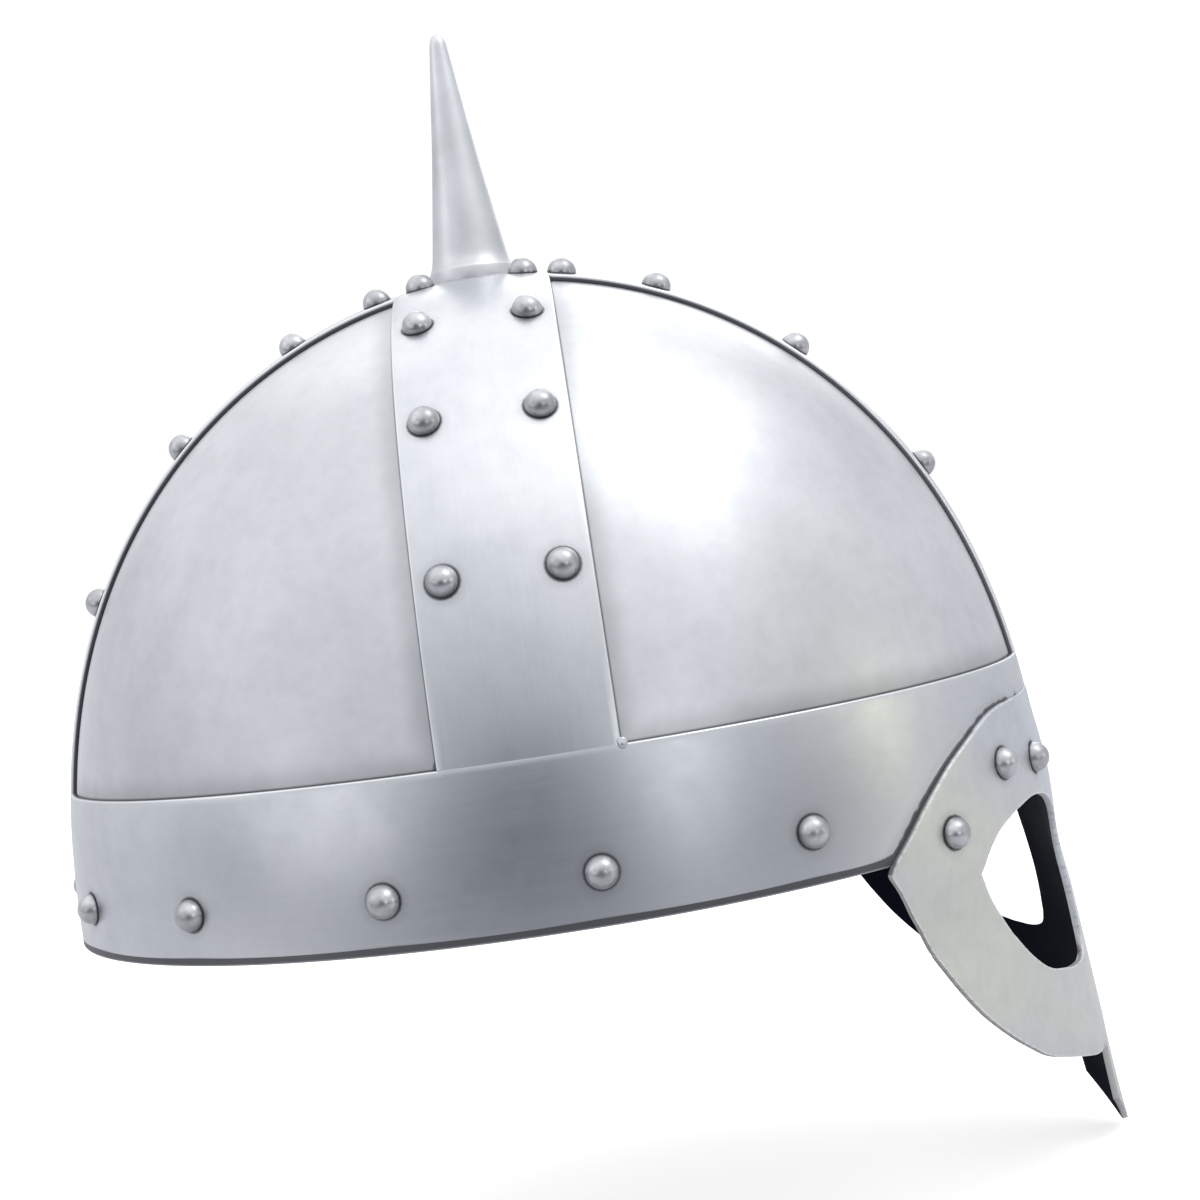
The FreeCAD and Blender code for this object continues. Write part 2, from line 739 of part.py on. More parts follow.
# --------------------------------------------------------------------------
# Checks and export
# --------------------------------------------------------------------------
doc.recompute()
for obj in doc.Objects:
    if "Invalid" in obj.State or "Error" in obj.State:
        raise RuntimeError("%s is in state %s" % (obj.Name, obj.State))

for obj in NODES:
    shape = obj.Shape
    if shape.isNull() or not shape.isValid() or not shape.Solids:
        raise RuntimeError("%s has no valid solid" % obj.Label)
    shape.exportStep(os.path.join("parts", obj.Label + ".step"))
    box = shape.BoundBox
    print(
        "%-20s solids %2d volume %9.1f x %.1f..%.1f y %.1f..%.1f z %.1f..%.1f"
        % (obj.Label, len(shape.Solids), shape.Volume, box.XMin, box.XMax, box.YMin, box.YMax, box.ZMin, box.ZMax)
    )
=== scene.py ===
import math

import bmesh
import bpy
import numpy as np
from mathutils import Matrix, Vector


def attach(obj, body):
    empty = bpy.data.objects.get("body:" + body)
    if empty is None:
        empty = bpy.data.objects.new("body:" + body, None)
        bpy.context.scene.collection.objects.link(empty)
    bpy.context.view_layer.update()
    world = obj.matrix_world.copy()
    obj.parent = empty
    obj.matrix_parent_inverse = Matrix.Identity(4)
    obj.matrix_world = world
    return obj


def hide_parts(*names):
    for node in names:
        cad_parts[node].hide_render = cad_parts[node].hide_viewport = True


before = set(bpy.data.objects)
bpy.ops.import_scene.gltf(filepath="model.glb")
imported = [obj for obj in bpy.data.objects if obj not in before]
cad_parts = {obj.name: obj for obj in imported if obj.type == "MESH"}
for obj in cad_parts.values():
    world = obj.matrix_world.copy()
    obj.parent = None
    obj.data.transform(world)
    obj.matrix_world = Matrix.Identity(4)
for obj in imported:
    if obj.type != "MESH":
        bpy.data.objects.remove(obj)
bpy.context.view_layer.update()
scene = bpy.context.scene

# ---------------------------------------------------------------------------
# Brow band.  A closed hoop of 1.5 mm mild steel round the rim, cut away in a
# low arch over each eye, with its edges eased by a file.  The skin of the
# whole bowl is one oval superellipsoid, which every other sheet follows too.
# ---------------------------------------------------------------------------
HALF_LENGTH = 0.127
HALF_WIDTH = 0.105
CROWN_HEIGHT = 0.1551
BOWL_CENTRE = 0.0009
RISE = 2.35
FULLNESS = 1.93
BAND_SHEET = 0.0015
BAND_HALF_WIDTH = 0.020
BROW_HEIGHT = 0.038
CROSSING_Y = 0.0024
ARCH_CENTRE_X = 0.038
ARCH_HALF_WIDTH = 0.030
ARCH_HEIGHT = 0.009
EASED_EDGE = 0.00035
SQUARE_EDGE = 0.00002


def bowl_share(z, skin=0.0):
    """Part of the rim's reach that is left at height z, on a skin that far outside the bands."""
    level = np.clip(z / (CROWN_HEIGHT + skin), 0.0, 1.0)
    return np.maximum(1.0 - level ** RISE, 0.0) ** (1.0 / FULLNESS)


def bowl_height(x, y, skin=0.0):
    """Height of the bowl's skin over a place in plan."""
    share = np.sqrt((x / (HALF_WIDTH + skin)) ** 2 + ((y - BOWL_CENTRE) / (HALF_LENGTH + skin)) ** 2)
    return (CROWN_HEIGHT + skin) * np.maximum(1.0 - share ** FULLNESS, 0.0) ** (1.0 / RISE)


def on_bowl(starts, headings, skins):
    """Where rays from inside the bowl meet its skin."""
    near = np.zeros(len(starts))
    far = np.full(len(starts), 0.25)
    for _ in range(40):
        middle = (near + far) / 2
        points = starts + headings * middle[:, None]
        share = bowl_share(points[:, 2], skins)
        reach = (points[:, 0] / (HALF_WIDTH + skins)) ** 2
        reach += ((points[:, 1] - BOWL_CENTRE) / (HALF_LENGTH + skins)) ** 2
        outside = reach > share ** 2
        far = np.where(outside, middle, far)
        near = np.where(outside, near, middle)
    return starts + headings * far[:, None]


def strip_section(low, high, sheet, across, low_ease, high_ease):
    """Closed outline of a strip cut across: places across it, and depths below its outer face."""
    outer = np.linspace(low + low_ease, high - high_ease, across + 1)
    turn = np.radians([30.0, 60.0, 90.0])
    high_w = high - high_ease * (1 - np.sin(turn))
    high_d = high_ease * (1 - np.cos(turn))
    inner = np.linspace(high, low, max(across // 3, 2) + 1)
    low_w = (low + low_ease * (1 - np.sin(turn)))[::-1]
    low_d = (low_ease * (1 - np.cos(turn)))[::-1]
    w = np.concatenate([outer, high_w, inner, low_w])
    d = np.concatenate([np.zeros(across + 1), high_d, np.full(len(inner), sheet), low_d])
    return w, d


def sweep_strip(name, stations, section_at, place, closed):
    """Solid strip: its section at each station, put in place, and joined to the next one."""
    rings = []
    places = []
    for station in stations:
        w, d = section_at(station)
        rings.append(place(station, w, d))
        places.append(w)
    per_ring = len(rings[0])
    centres = np.array([ring.mean(axis=0) for ring in rings])
    if closed:
        centres = np.vstack([centres, centres[:1]])
    run = np.concatenate([[0.0], np.cumsum(np.linalg.norm(np.diff(centres, axis=0), axis=1))])
    faces = []
    face_uvs = []
    ring_count = len(rings)
    for i in range(ring_count if closed else ring_count - 1):
        after = (i + 1) % ring_count
        for j in range(per_ring):
            beside = (j + 1) % per_ring
            here, there = i * per_ring, after * per_ring
            faces.append((here + j, here + beside, there + beside, there + j))
            face_uvs += [
                (run[i], places[i][j]),
                (run[i], places[i][beside]),
                (run[i + 1], places[after][beside]),
                (run[i + 1], places[after][j]),
            ]
    if not closed:
        last = (ring_count - 1) * per_ring
        faces.append(tuple(range(per_ring - 1, -1, -1)))
        face_uvs += [(run[0], places[0][j]) for j in range(per_ring - 1, -1, -1)]
        faces.append(tuple(last + j for j in range(per_ring)))
        face_uvs += [(run[-1], places[-1][j]) for j in range(per_ring)]
    return steel_mesh(name, np.vstack(rings), faces, face_uvs)


def steel_mesh(name, points, faces, face_uvs=None):
    """Object from points and faces, with its faces turned outwards and its hard corners marked."""
    mesh = bpy.data.meshes.new(name)
    mesh.from_pydata([tuple(p) for p in points], [], faces)
    if face_uvs is not None:
        layer = mesh.uv_layers.new(name="UVMap")
        layer.data.foreach_set("uv", np.array(face_uvs, dtype=np.float32).ravel())
    work = bmesh.new()
    work.from_mesh(mesh)
    if work.calc_volume(signed=True) < 0:
        bmesh.ops.reverse_faces(work, faces=work.faces[:])
    work.to_mesh(mesh)
    work.free()
    mesh.shade_smooth()
    mesh.set_sharp_from_angle(angle=math.radians(42))
    obj = bpy.data.objects.new(name, mesh)
    scene.collection.objects.link(obj)
    return obj


def arch_height(x):
    """Height of the arch cut in the rim over each eye."""
    inside = 1.0 - ((abs(x) - ARCH_CENTRE_X) / ARCH_HALF_WIDTH) ** 2
    return ARCH_HEIGHT * math.sqrt(inside) if inside > 0 else 0.0


def brow_stations():
    """Plan angles round the hoop, closer together over the arches, 0 at the nose."""
    angles = []
    arch_low = math.asin((ARCH_CENTRE_X - ARCH_HALF_WIDTH) / HALF_WIDTH)
    arch_high = math.asin((ARCH_CENTRE_X + ARCH_HALF_WIDTH) / HALF_WIDTH)
    angles += list(np.linspace(0, arch_low, 10)[:-1])
    for turn in np.linspace(0, math.pi, 56):
        x = ARCH_CENTRE_X - (ARCH_HALF_WIDTH - 1e-7) * math.cos(turn)
        angles.append(math.asin(x / HALF_WIDTH))
    angles += list(np.linspace(arch_high, math.pi, 250)[1:])
    mirrored = [-a for a in reversed(angles[1:-1])]
    return angles + mirrored


def brow_section(angle):
    x = HALF_WIDTH * math.sin(angle)
    y = BOWL_CENTRE - HALF_LENGTH * math.cos(angle)
    low = arch_height(x) if y < 0 else 0.0
    under_band = abs(x) < BAND_HALF_WIDTH or abs(y - CROSSING_Y) < BAND_HALF_WIDTH
    top_ease = SQUARE_EDGE if under_band else EASED_EDGE
    return strip_section(low, BROW_HEIGHT, BAND_SHEET, 28, EASED_EDGE, top_ease)


def brow_place(angle, w, d):
    share = bowl_share(w, -d)
    x = (HALF_WIDTH - d) * share * math.sin(angle)
    y = BOWL_CENTRE - (HALF_LENGTH - d) * share * math.cos(angle)
    return np.column_stack([x, y, w])


# Rivet ring and halo: a dark ring and a softer halo painted round the foot of each rivet, as contact shade
# and grime.
RIVET_RING = (0.0039, 0.0046)
RIVET_HALO = (0.0040, 0.0068)
# EDGE_LINE: the bright line of painted highlight and wear on edges, and on the plates the dark line of
# painted shade; EDGE_MARGIN: the softer margin of painted shade on the plates.
EDGE_LINE = (0.0, 0.0006)
EDGE_MARGIN = (0.0, 0.0065)
# Cut face: a band's cut face is painted dark as shade.
CUT_FACE = (-0.0005, -0.00005)
STEEL_RELIEF = 0.000007
FAR_GAP = 0.05


def add_node(tree, kind, given=None, **settings):
    """Node with its settings; each input takes a value or another node's output."""
    node = tree.nodes.new(kind)
    for key, value in settings.items():
        setattr(node, key, value)
    for place, value in (given or {}).items():
        if isinstance(value, bpy.types.NodeSocket):
            tree.links.new(value, node.inputs[place])
        else:
            node.inputs[place].default_value = value
    return node


def noise(tree, where, scale, detail, rough=0.5):
    given = {"Vector": where, "Scale": scale, "Detail": detail, "Roughness": rough}
    return add_node(tree, "ShaderNodeTexNoise", given).outputs["Fac"]


def ranged(tree, value, bounds, to=(0.0, 1.0), curve="SMOOTHSTEP"):
    """A value between two bounds, spread over two others."""
    given = {0: value, 1: bounds[0], 2: bounds[1], 3: to[0], 4: to[1]}
    return add_node(tree, "ShaderNodeMapRange", given, interpolation_type=curve).outputs["Result"]


def maths(tree, operation, first, second):
    return add_node(tree, "ShaderNodeMath", {0: first, 1: second}, operation=operation).outputs[0]


def blended(tree, share, first, second, mode="MIX"):
    given = {"Factor": share, 6: first, 7: second}
    return add_node(tree, "ShaderNodeMix", given, data_type="RGBA", blend_type=mode).outputs[2]


def open_group(name, kind, inputs, outputs):
    """Node group with named inputs and outputs, and the sockets at its two ends."""
    tree = bpy.data.node_groups.new(name, kind)
    for in_out, sockets in (("INPUT", inputs), ("OUTPUT", outputs)):
        for label, socket_kind, default in sockets:
            kind_name = "NodeSocket" + socket_kind
            socket = tree.interface.new_socket(label, in_out=in_out, socket_type=kind_name)
            if default is not None:
                socket.default_value = default
    return tree, tree.nodes.new("NodeGroupInput").outputs, tree.nodes.new("NodeGroupOutput").inputs


def patina_group():
    """Worn satin steel: cloudy tone, fine brushing, painted shade and grime round rivets, painted shade
    beside the bands, and sheet edges with a painted highlight and wear and a cut face painted dark as
    shade.
    """
    inputs = (
        ("Bright tone", "Color", (0.64, 0.65, 0.67, 1)),
        ("Dull tone", "Color", (0.42, 0.43, 0.45, 1)),
        ("Cloud scale", "Float", 13.0),
        ("Cloud offset", "Vector", (0, 0, 0)),
        ("Base roughness", "Float", 0.30),
        ("Edge highlight and wear", "Float", 1.0),
        ("Edge painted shade", "Float", 0.0),
        ("Brush stretch", "Vector", (30, 1600, 1)),
    )
    outputs = (("Colour", "Color", None), ("Roughness", "Float", None), ("Height", "Float", None))
    tree, given, out = open_group("Steel patina", "ShaderNodeTree", inputs, outputs)
    where = add_node(tree, "ShaderNodeTexCoord").outputs

    def near(gap, bounds):
        """1 at the nearer bound of a gap, 0 at the farther one."""
        return ranged(tree, gap, bounds, (1.0, 0.0))

    def times(first, second):
        return maths(tree, "MULTIPLY", first, second)

    def minus(first, second):
        return maths(tree, "SUBTRACT", first, second)

    def moved(operation, first, second):
        return add_node(tree, "ShaderNodeVectorMath", {0: first, 1: second}, operation=operation).outputs[0]

    shifted = moved("ADD", where["Object"], given["Cloud offset"])
    cloud = ranged(tree, noise(tree, shifted, given["Cloud scale"], 3.0), (0.36, 0.64))
    mottle = noise(tree, where["Object"], 170.0, 5.0, 0.62)
    grain = noise(tree, where["Object"], 2300.0, 2.0)
    brush = noise(tree, moved("MULTIPLY", where["UV"], given["Brush stretch"]), 1.0, 3.0, 0.6)
    rivet_gap = add_node(tree, "ShaderNodeAttribute", attribute_name="rivet_gap").outputs["Fac"]
    edge_gap = add_node(tree, "ShaderNodeAttribute", attribute_name="edge_gap").outputs["Fac"]
    ring = near(rivet_gap, RIVET_RING)
    halo = near(rivet_gap, RIVET_HALO)
    line = near(edge_gap, EDGE_LINE)
    margin = near(edge_gap, EDGE_MARGIN)
    cut_face = near(edge_gap, CUT_FACE)

    tone = blended(tree, cloud, given["Dull tone"], given["Bright tone"])
    # Painted light over the tone: the halo and ring are painted contact shade and grime at rivet feet, and
    # painted shadow along the guard's edge; the margin and dark line are painted shade on the plates beside
    # the bands; the bright line is a painted highlight and wear on sheet edges; the cut face is painted
    # dark as shade.
    for share, colour in (
        (ranged(tree, mottle, (0.35, 0.75), (0.0, 0.14)), (0.30, 0.31, 0.33, 1)),
        (ranged(tree, brush, (0.25, 0.75), (0.0, 0.05)), (0.95, 0.96, 0.98, 1)),
        (times(halo, 0.20), (0.20, 0.20, 0.21, 1)),
        (times(ring, 0.86), (0.06, 0.06, 0.065, 1)),
        (times(margin, times(given["Edge painted shade"], 0.45)), (0.16, 0.16, 0.17, 1)),
        (times(line, given["Edge painted shade"]), (0.03, 0.03, 0.033, 1)),
        (times(line, times(given["Edge highlight and wear"], 0.6)), (0.86, 0.87, 0.88, 1)),
        (times(cut_face, 0.9), (0.045, 0.047, 0.055, 1)),
    ):
        tone = blended(tree, share, tone, colour)
    tree.links.new(tone, out["Colour"])

    rough = given["Base roughness"]
    for change, strength in (
        (minus(1.0, cloud), 0.06),
        (minus(brush, 0.5), 0.05),
        (minus(mottle, 0.5), 0.10),
        (ring, 0.18),
    ):
        rough = maths(tree, "ADD", rough, times(change, strength))
    tree.links.new(rough, out["Roughness"])
    height = maths(tree, "ADD", times(grain, 0.5), times(brush, 0.16))
    height = maths(tree, "ADD", height, times(mottle, 1.1))
    tree.links.new(height, out["Height"])
    return tree


STEEL_PATINA = patina_group()


def new_material(name):
    """Plain material, with its tree and its shader."""
    material = bpy.data.materials.new(name)
    material.use_nodes = True
    return material, material.node_tree, material.node_tree.nodes["Principled BSDF"]


def join_shader(tree, shader, colour, rough, height, distance, strength=1.0):
    """Colour, roughness and relief led to the shader."""
    given = {"Height": height, "Distance": distance, "Strength": strength}
    relief = add_node(tree, "ShaderNodeBump", given).outputs["Normal"]
    for label, value in (("Base Color", colour), ("Roughness", rough), ("Normal", relief)):
        tree.links.new(value, shader.inputs[label])


def steel_finish(name, settings):
    """Metal material that takes its colour, roughness and relief from the patina group."""
    material, tree, shader = new_material(name)
    shader.inputs["Metallic"].default_value = 1.0
    patina = add_node(tree, "ShaderNodeGroup", node_tree=STEEL_PATINA)
    for label, value in settings.items():
        patina.inputs[label].default_value = value
    join_shader(tree, shader, *(patina.outputs[k] for k in ("Colour", "Roughness", "Height")), STEEL_RELIEF)
    return material


def dress(obj, slot_name, *materials):
    """Gives a piece its materials and its body; slot_name is not used."""
    obj.data.materials.clear()
    for material in materials:
        obj.data.materials.append(material)
    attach(obj, "root")
    return obj


BAND_STEEL = steel_finish(
    "Band steel, satin",
    {
        "Bright tone": (0.62, 0.63, 0.65, 1),
        "Dull tone": (0.50, 0.515, 0.54, 1),
        "Base roughness": 0.29,
        # Bright line along the band edges: painted highlight and wear.
        "Edge highlight and wear": 0.8,
    },
)

brow_band = sweep_strip("brow_band_steel", brow_stations(), brow_section, brow_place, closed=True)

# ---------------------------------------------------------------------------
# Crest band and side bands.  Three strips of the same steel: one runs from the
# nose to the nape over the crown, and one on each side is butt welded to it
# and to the top of the brow band, and ground flush.
# ---------------------------------------------------------------------------


def crest_section(station):
    flat_crossing = abs(station[1] - CROSSING_Y) < BAND_HALF_WIDTH
    ease = SQUARE_EDGE if flat_crossing else EASED_EDGE
    return strip_section(-BAND_HALF_WIDTH, BAND_HALF_WIDTH, BAND_SHEET, 30, ease, ease)


def crest_place(station, w, d):
    share = bowl_share(BROW_HEIGHT, -d)
    reach = (HALF_LENGTH - d) * np.sqrt(share ** 2 - (w / (HALF_WIDTH - d)) ** 2)
    turn = np.arctan2(reach, BROW_HEIGHT) * station[0]
    starts = np.column_stack([w, np.full(len(w), BOWL_CENTRE), np.zeros(len(w))])
    headings = np.column_stack([np.zeros(len(w)), np.sin(turn), np.cos(turn)])
    return on_bowl(starts, headings, -d)


def crest_stations():
    """Pairs of place along the crest, -1 at the brow to 1 at the nape, and the depth it lies at."""
    pairs = []
    for along in np.linspace(-1, 1, 270):
        depth = crest_place((along, 0), np.array([BAND_HALF_WIDTH]), np.array([0.0]))[0][1]
        pairs.append((along, depth))
    return pairs


crest_band = sweep_strip("crest_band_steel", crest_stations(), crest_section, crest_place, closed=False)


def side_section(station):
    return strip_section(-BAND_HALF_WIDTH, BAND_HALF_WIDTH, BAND_SHEET, 30, EASED_EDGE, EASED_EDGE)


def side_place_on(side):
    def side_place(along, w, d):
        y = CROSSING_Y + w
        y_share = ((y - BOWL_CENTRE) / (HALF_LENGTH - d)) ** 2
        low_reach = (HALF_WIDTH - d) * np.sqrt(bowl_share(BROW_HEIGHT, -d) ** 2 - y_share)
        low_turn = np.arctan2(low_reach, BROW_HEIGHT)
        high_turn = np.arctan2(BAND_HALF_WIDTH, bowl_height(BAND_HALF_WIDTH, y, -d))
        turn = high_turn + (low_turn - high_turn) * along
        starts = np.column_stack([np.zeros(len(w)), y, np.zeros(len(w))])
        headings = np.column_stack([side * np.sin(turn), np.zeros(len(w)), np.cos(turn)])
        return on_bowl(starts, headings, -d)

    return side_place


side_bands = {}
for side, word in ((-1, "right"), (1, "left")):
    name = "side_band_" + word + "_steel"
    stations = list(np.linspace(0, 1, 110))
    side_bands[word] = sweep_strip(name, stations, side_section, side_place_on(side), closed=False)

# ---------------------------------------------------------------------------
# Dome plates.  Four pieces of 1.2 mm sheet raised to the bowl's shape, one in
# each quarter, with their edges tucked behind the bands.
# ---------------------------------------------------------------------------
PLATE_SKIN = -0.0016
PLATE_SHEET = 0.0012
PLATE_BOTTOM = 0.007
PLATE_CROWN_RADIUS = 0.0135
PLATE_EDGE_ANGLE = math.radians(0.6)
PLATE_COLUMNS = 78
PLATE_ROWS = 96
PLATE_ARCH_GAP = 0.0008
PLATE_UV_REACH = 0.1
PLATE_UV_STEP = 0.0016


def dome_plate(name, from_angle, to_angle):
    """Plate between two plan angles, measured from the nose round the wearer's left."""
    angles = np.linspace(from_angle + PLATE_EDGE_ANGLE, to_angle - PLATE_EDGE_ANGLE, PLATE_COLUMNS + 1)
    skin = np.array([PLATE_SKIN])
    stride = PLATE_ROWS + 1
    points = []
    for angle in angles:
        out_x, out_y = math.sin(angle), -math.cos(angle)
        out = np.array([[out_x, out_y, 0.0]])
        low = on_bowl(np.array([[0.0, CROSSING_Y, PLATE_BOTTOM]]), out, skin)[0]
        bottom = max(PLATE_BOTTOM, arch_height(low[0]) + PLATE_ARCH_GAP if low[1] < 0 else 0.0)
        low = on_bowl(np.array([[0.0, CROSSING_Y, bottom]]), out, skin)[0]
        low_rise = math.atan2(bottom, math.hypot(low[0], low[1] - CROSSING_Y))
        crown_x, crown_y = PLATE_CROWN_RADIUS * out_x, CROSSING_Y + PLATE_CROWN_RADIUS * out_y
        high_rise = math.atan2(bowl_height(crown_x, crown_y, PLATE_SKIN), PLATE_CROWN_RADIUS)
        rise = np.linspace(low_rise, high_rise, stride)
        starts = np.tile([0.0, CROSSING_Y, 0.0], (stride, 1))
        headings = np.column_stack([out_x * np.cos(rise), out_y * np.cos(rise), np.sin(rise)])
        points.append(on_bowl(starts, headings, np.full(stride, PLATE_SKIN)))
    faces = []
    uvs = []
    for i in range(PLATE_COLUMNS):
        for j in range(PLATE_ROWS):
            corners = ((i, j), (i + 1, j), (i + 1, j + 1), (i, j + 1))
            faces.append(tuple(a * stride + b for a, b in corners))
            uvs += [(PLATE_UV_REACH * angles[a], PLATE_UV_STEP * b) for a, b in corners]
    return steel_mesh(name, np.vstack(points), faces, uvs)


plates = {}
for word, quarter in (("front_left", 0), ("rear_left", 1), ("rear_right", 2), ("front_right", 3)):
    plate = dome_plate("panel_" + word + "_steel", quarter * math.pi / 2, (quarter + 1) * math.pi / 2)
    first = plate.data.polygons[0]
    if first.normal.dot(first.center) < 0:
        plate.data.flip_normals()
    wall = plate.modifiers.new("sheet", "SOLIDIFY")
    wall.thickness = PLATE_SHEET
    wall.offset = -1.0
    wall.use_even_offset = True
    plates[word] = plate

# ---------------------------------------------------------------------------
# Rivets.  Domed iron rivets in two rows on every band, one row round the brow,
# and three on each side of the guard, peened to a low cone inside.  A dark ring
# is painted at the foot of each head, as contact shade and as grime.
# ---------------------------------------------------------------------------
RIVET_ROW = 0.01335
BAND_STACK = 0.0028
LINER_STACK = 0.0051
GUARD_SHEET = 0.0016
GUARD_SKIN = 0.0017
BROW_RIVET_Z = 0.0118
CREST_FRONT_HEIGHTS = (0.1517, 0.1445, 0.1239, 0.0894)
CREST_REAR_HEIGHTS = (0.1507, 0.1427, 0.1212, 0.0851)
SIDE_HEIGHTS = (0.1392, 0.1142, 0.0779)
BROW_ANGLES = (1.103, 1.489, 1.868, 2.285, 2.684)
CUT_FACE_DEPTH = 0.00045
HIGH_GUARD_PLACES = ((0.041, 0.0135), (0.0582, 0.0156))
LOW_GUARD_PLACES = ((0.0755, 0.0038),)


def crown_seats():
    seats = []
    for x in (-RIVET_ROW, RIVET_ROW):
        for y in (CROSSING_Y - RIVET_ROW, CROSSING_Y + RIVET_ROW):
            seats.append((x, y, float(bowl_height(x, y))))
    return seats


def crest_seats(heights, facing):
    seats = []
    for z in heights:
        for x in (-RIVET_ROW, RIVET_ROW):
            reach = HALF_LENGTH * math.sqrt(bowl_share(z) ** 2 - (x / HALF_WIDTH) ** 2)
            seats.append((x, BOWL_CENTRE + facing * reach, z))
    return seats


def side_seats(side):
    seats = []
    for z in SIDE_HEIGHTS:
        for y in (CROSSING_Y - RIVET_ROW, CROSSING_Y + RIVET_ROW):
            reach = HALF_WIDTH * math.sqrt(bowl_share(z) ** 2 - ((y - BOWL_CENTRE) / HALF_LENGTH) ** 2)
            seats.append((side * reach, y, z))
    return seats


def brow_seats():
    share = float(bowl_share(BROW_RIVET_Z))
    seats = []
    for angle in [-a for a in reversed(BROW_ANGLES)] + list(BROW_ANGLES) + [math.pi]:
        x = HALF_WIDTH * share * math.sin(angle)
        y = BOWL_CENTRE - HALF_LENGTH * share * math.cos(angle)
        seats.append((x, y, BROW_RIVET_Z))
    return seats


def guard_seats(places):
    seats = []
    for x, z in places:
        share = float(bowl_share(z, GUARD_SKIN))
        reach = (HALF_LENGTH + GUARD_SKIN) * math.sqrt(share ** 2 - (x / (HALF_WIDTH + GUARD_SKIN)) ** 2)
        seats += [(-x, BOWL_CENTRE - reach, z), (x, BOWL_CENTRE - reach, z)]
    return seats


def gripped(seats, grip):
    """Seats with the thickness of the sheets that their rivets hold."""
    return [(seat, grip) for seat in seats]


RIVET_SETS = {
    "rivets_crown": gripped(crown_seats(), BAND_STACK),
    "rivets_crest_front": gripped(crest_seats(CREST_FRONT_HEIGHTS, -1), BAND_STACK),
    "rivets_crest_rear": gripped(crest_seats(CREST_REAR_HEIGHTS, 1), BAND_STACK),
    "rivets_side_right": gripped(side_seats(-1), BAND_STACK),
    "rivets_side_left": gripped(side_seats(1), BAND_STACK),
    "rivets_brow": gripped(brow_seats(), LINER_STACK),
    "rivets_guard": gripped(guard_seats(HIGH_GUARD_PLACES), GUARD_SKIN + LINER_STACK)
    + gripped(guard_seats(LOW_GUARD_PLACES), GUARD_SKIN + BAND_SHEET),
}


def bowl_normal(seat):
    """Outward direction of the bowl at a rivet."""
    x, y, z = seat
    step = 1e-5
    slope = (bowl_share(z + step) ** 2 - bowl_share(z - step) ** 2) / (2 * step)
    normal = Vector((2 * x / HALF_WIDTH ** 2, 2 * (y - BOWL_CENTRE) / HALF_LENGTH ** 2, -float(slope)))
    return normal.normalized()


def mesh_points(mesh):
    points = np.zeros(len(mesh.vertices) * 3, dtype=np.float32)
    mesh.vertices.foreach_get("co", points)
    return points.reshape(-1, 3)


def write_layer(mesh, name, values):
    """Stores a number or a vector for each point of a mesh."""
    values = np.array(values, dtype=np.float32)
    kind, field = ("FLOAT", "value") if values.ndim == 1 else ("FLOAT_VECTOR", "vector")
    layer = mesh.attributes.get(name) or mesh.attributes.new(name, kind, "POINT")
    layer.data.foreach_set(field, values.ravel())


def note_gaps(obj, edge_gap, seats):
    """Writes how far each point is from the sheet's edge and from the nearest rivet."""
    points = mesh_points(obj.data)
    write_layer(obj.data, "edge_gap", edge_gap(points))
    nearest = np.full(len(points), 1.0)
    for seat in seats:
        nearest = np.minimum(nearest, np.linalg.norm(points - np.array(seat), axis=1))
    write_layer(obj.data, "rivet_gap", nearest)


def no_edge(points):
    return np.full(len(points), FAR_GAP)


def seats_of(*names):
    return [seat for name in names for seat, grip in RIVET_SETS[name]]


def depth_below(points):
    """Depth of each point below the bands' outer face."""
    low = np.full(len(points), -0.001)
    high = np.full(len(points), 0.004)
    for _ in range(18):
        d = (low + high) / 2
        share = bowl_share(points[:, 2], -d)
        reach = (points[:, 0] / (HALF_WIDTH - d)) ** 2
        reach = reach + ((points[:, 1] - BOWL_CENTRE) / (HALF_LENGTH - d)) ** 2
        inside = reach < share ** 2
        low = np.where(inside, d, low)
        high = np.where(inside, high, d)
    return low


def crest_gap(points):
    return BAND_HALF_WIDTH - np.abs(points[:, 0])


def side_gap(points):
    return BAND_HALF_WIDTH - np.abs(points[:, 1] - CROSSING_Y)


def gap_down_cut_face(gap):
    """Gap that goes below zero down the cut face of a band's edge, where the face is painted dark as shade.
    """
    return lambda points: gap(points) - np.maximum(depth_below(points) - CUT_FACE_DEPTH, 0.0)


def joined_above(points):
    """Inside the footprint of a band, where the brow band has no free top edge."""
    return np.maximum(crest_gap(points), side_gap(points))


def brow_gap(points):
    top = BROW_HEIGHT - points[:, 2]
    top = np.where(joined_above(points) > 0, np.hypot(top, joined_above(points)), top)
    return np.minimum(top, points[:, 2])


def band_clear(points):
    """How far a place on a plate is from the band that covers its edge."""
    return np.minimum(np.minimum(-crest_gap(points), -side_gap(points)), points[:, 2] - BROW_HEIGHT)


note_gaps(brow_band, gap_down_cut_face(brow_gap), seats_of("rivets_brow"))
crest_sets = ("rivets_crown", "rivets_crest_front", "rivets_crest_rear")
note_gaps(crest_band, gap_down_cut_face(crest_gap), seats_of(*crest_sets))
for word, side_band in side_bands.items():
    note_gaps(side_band, gap_down_cut_face(side_gap), seats_of("rivets_side_" + word))
for plate in plates.values():
    note_gaps(plate, band_clear, [])


def named_attribute(tree, name, kind):
    given = {"Name": name}
    return add_node(tree, "GeometryNodeInputNamedAttribute", given, data_type=kind).outputs["Attribute"]


def close_tree(tree, instances, material, out):
    """Ends a tree of repeated pieces: one real mesh, smooth faces, one material."""
    real = add_node(tree, "GeometryNodeRealizeInstances", {0: instances}).outputs[0]
    smooth = add_node(tree, "GeometryNodeSetShadeSmooth", {0: real}).outputs[0]
    finish = add_node(tree, "GeometryNodeSetMaterial", {"Geometry": smooth, "Material": material})
    tree.links.new(finish.outputs[0], out[0])


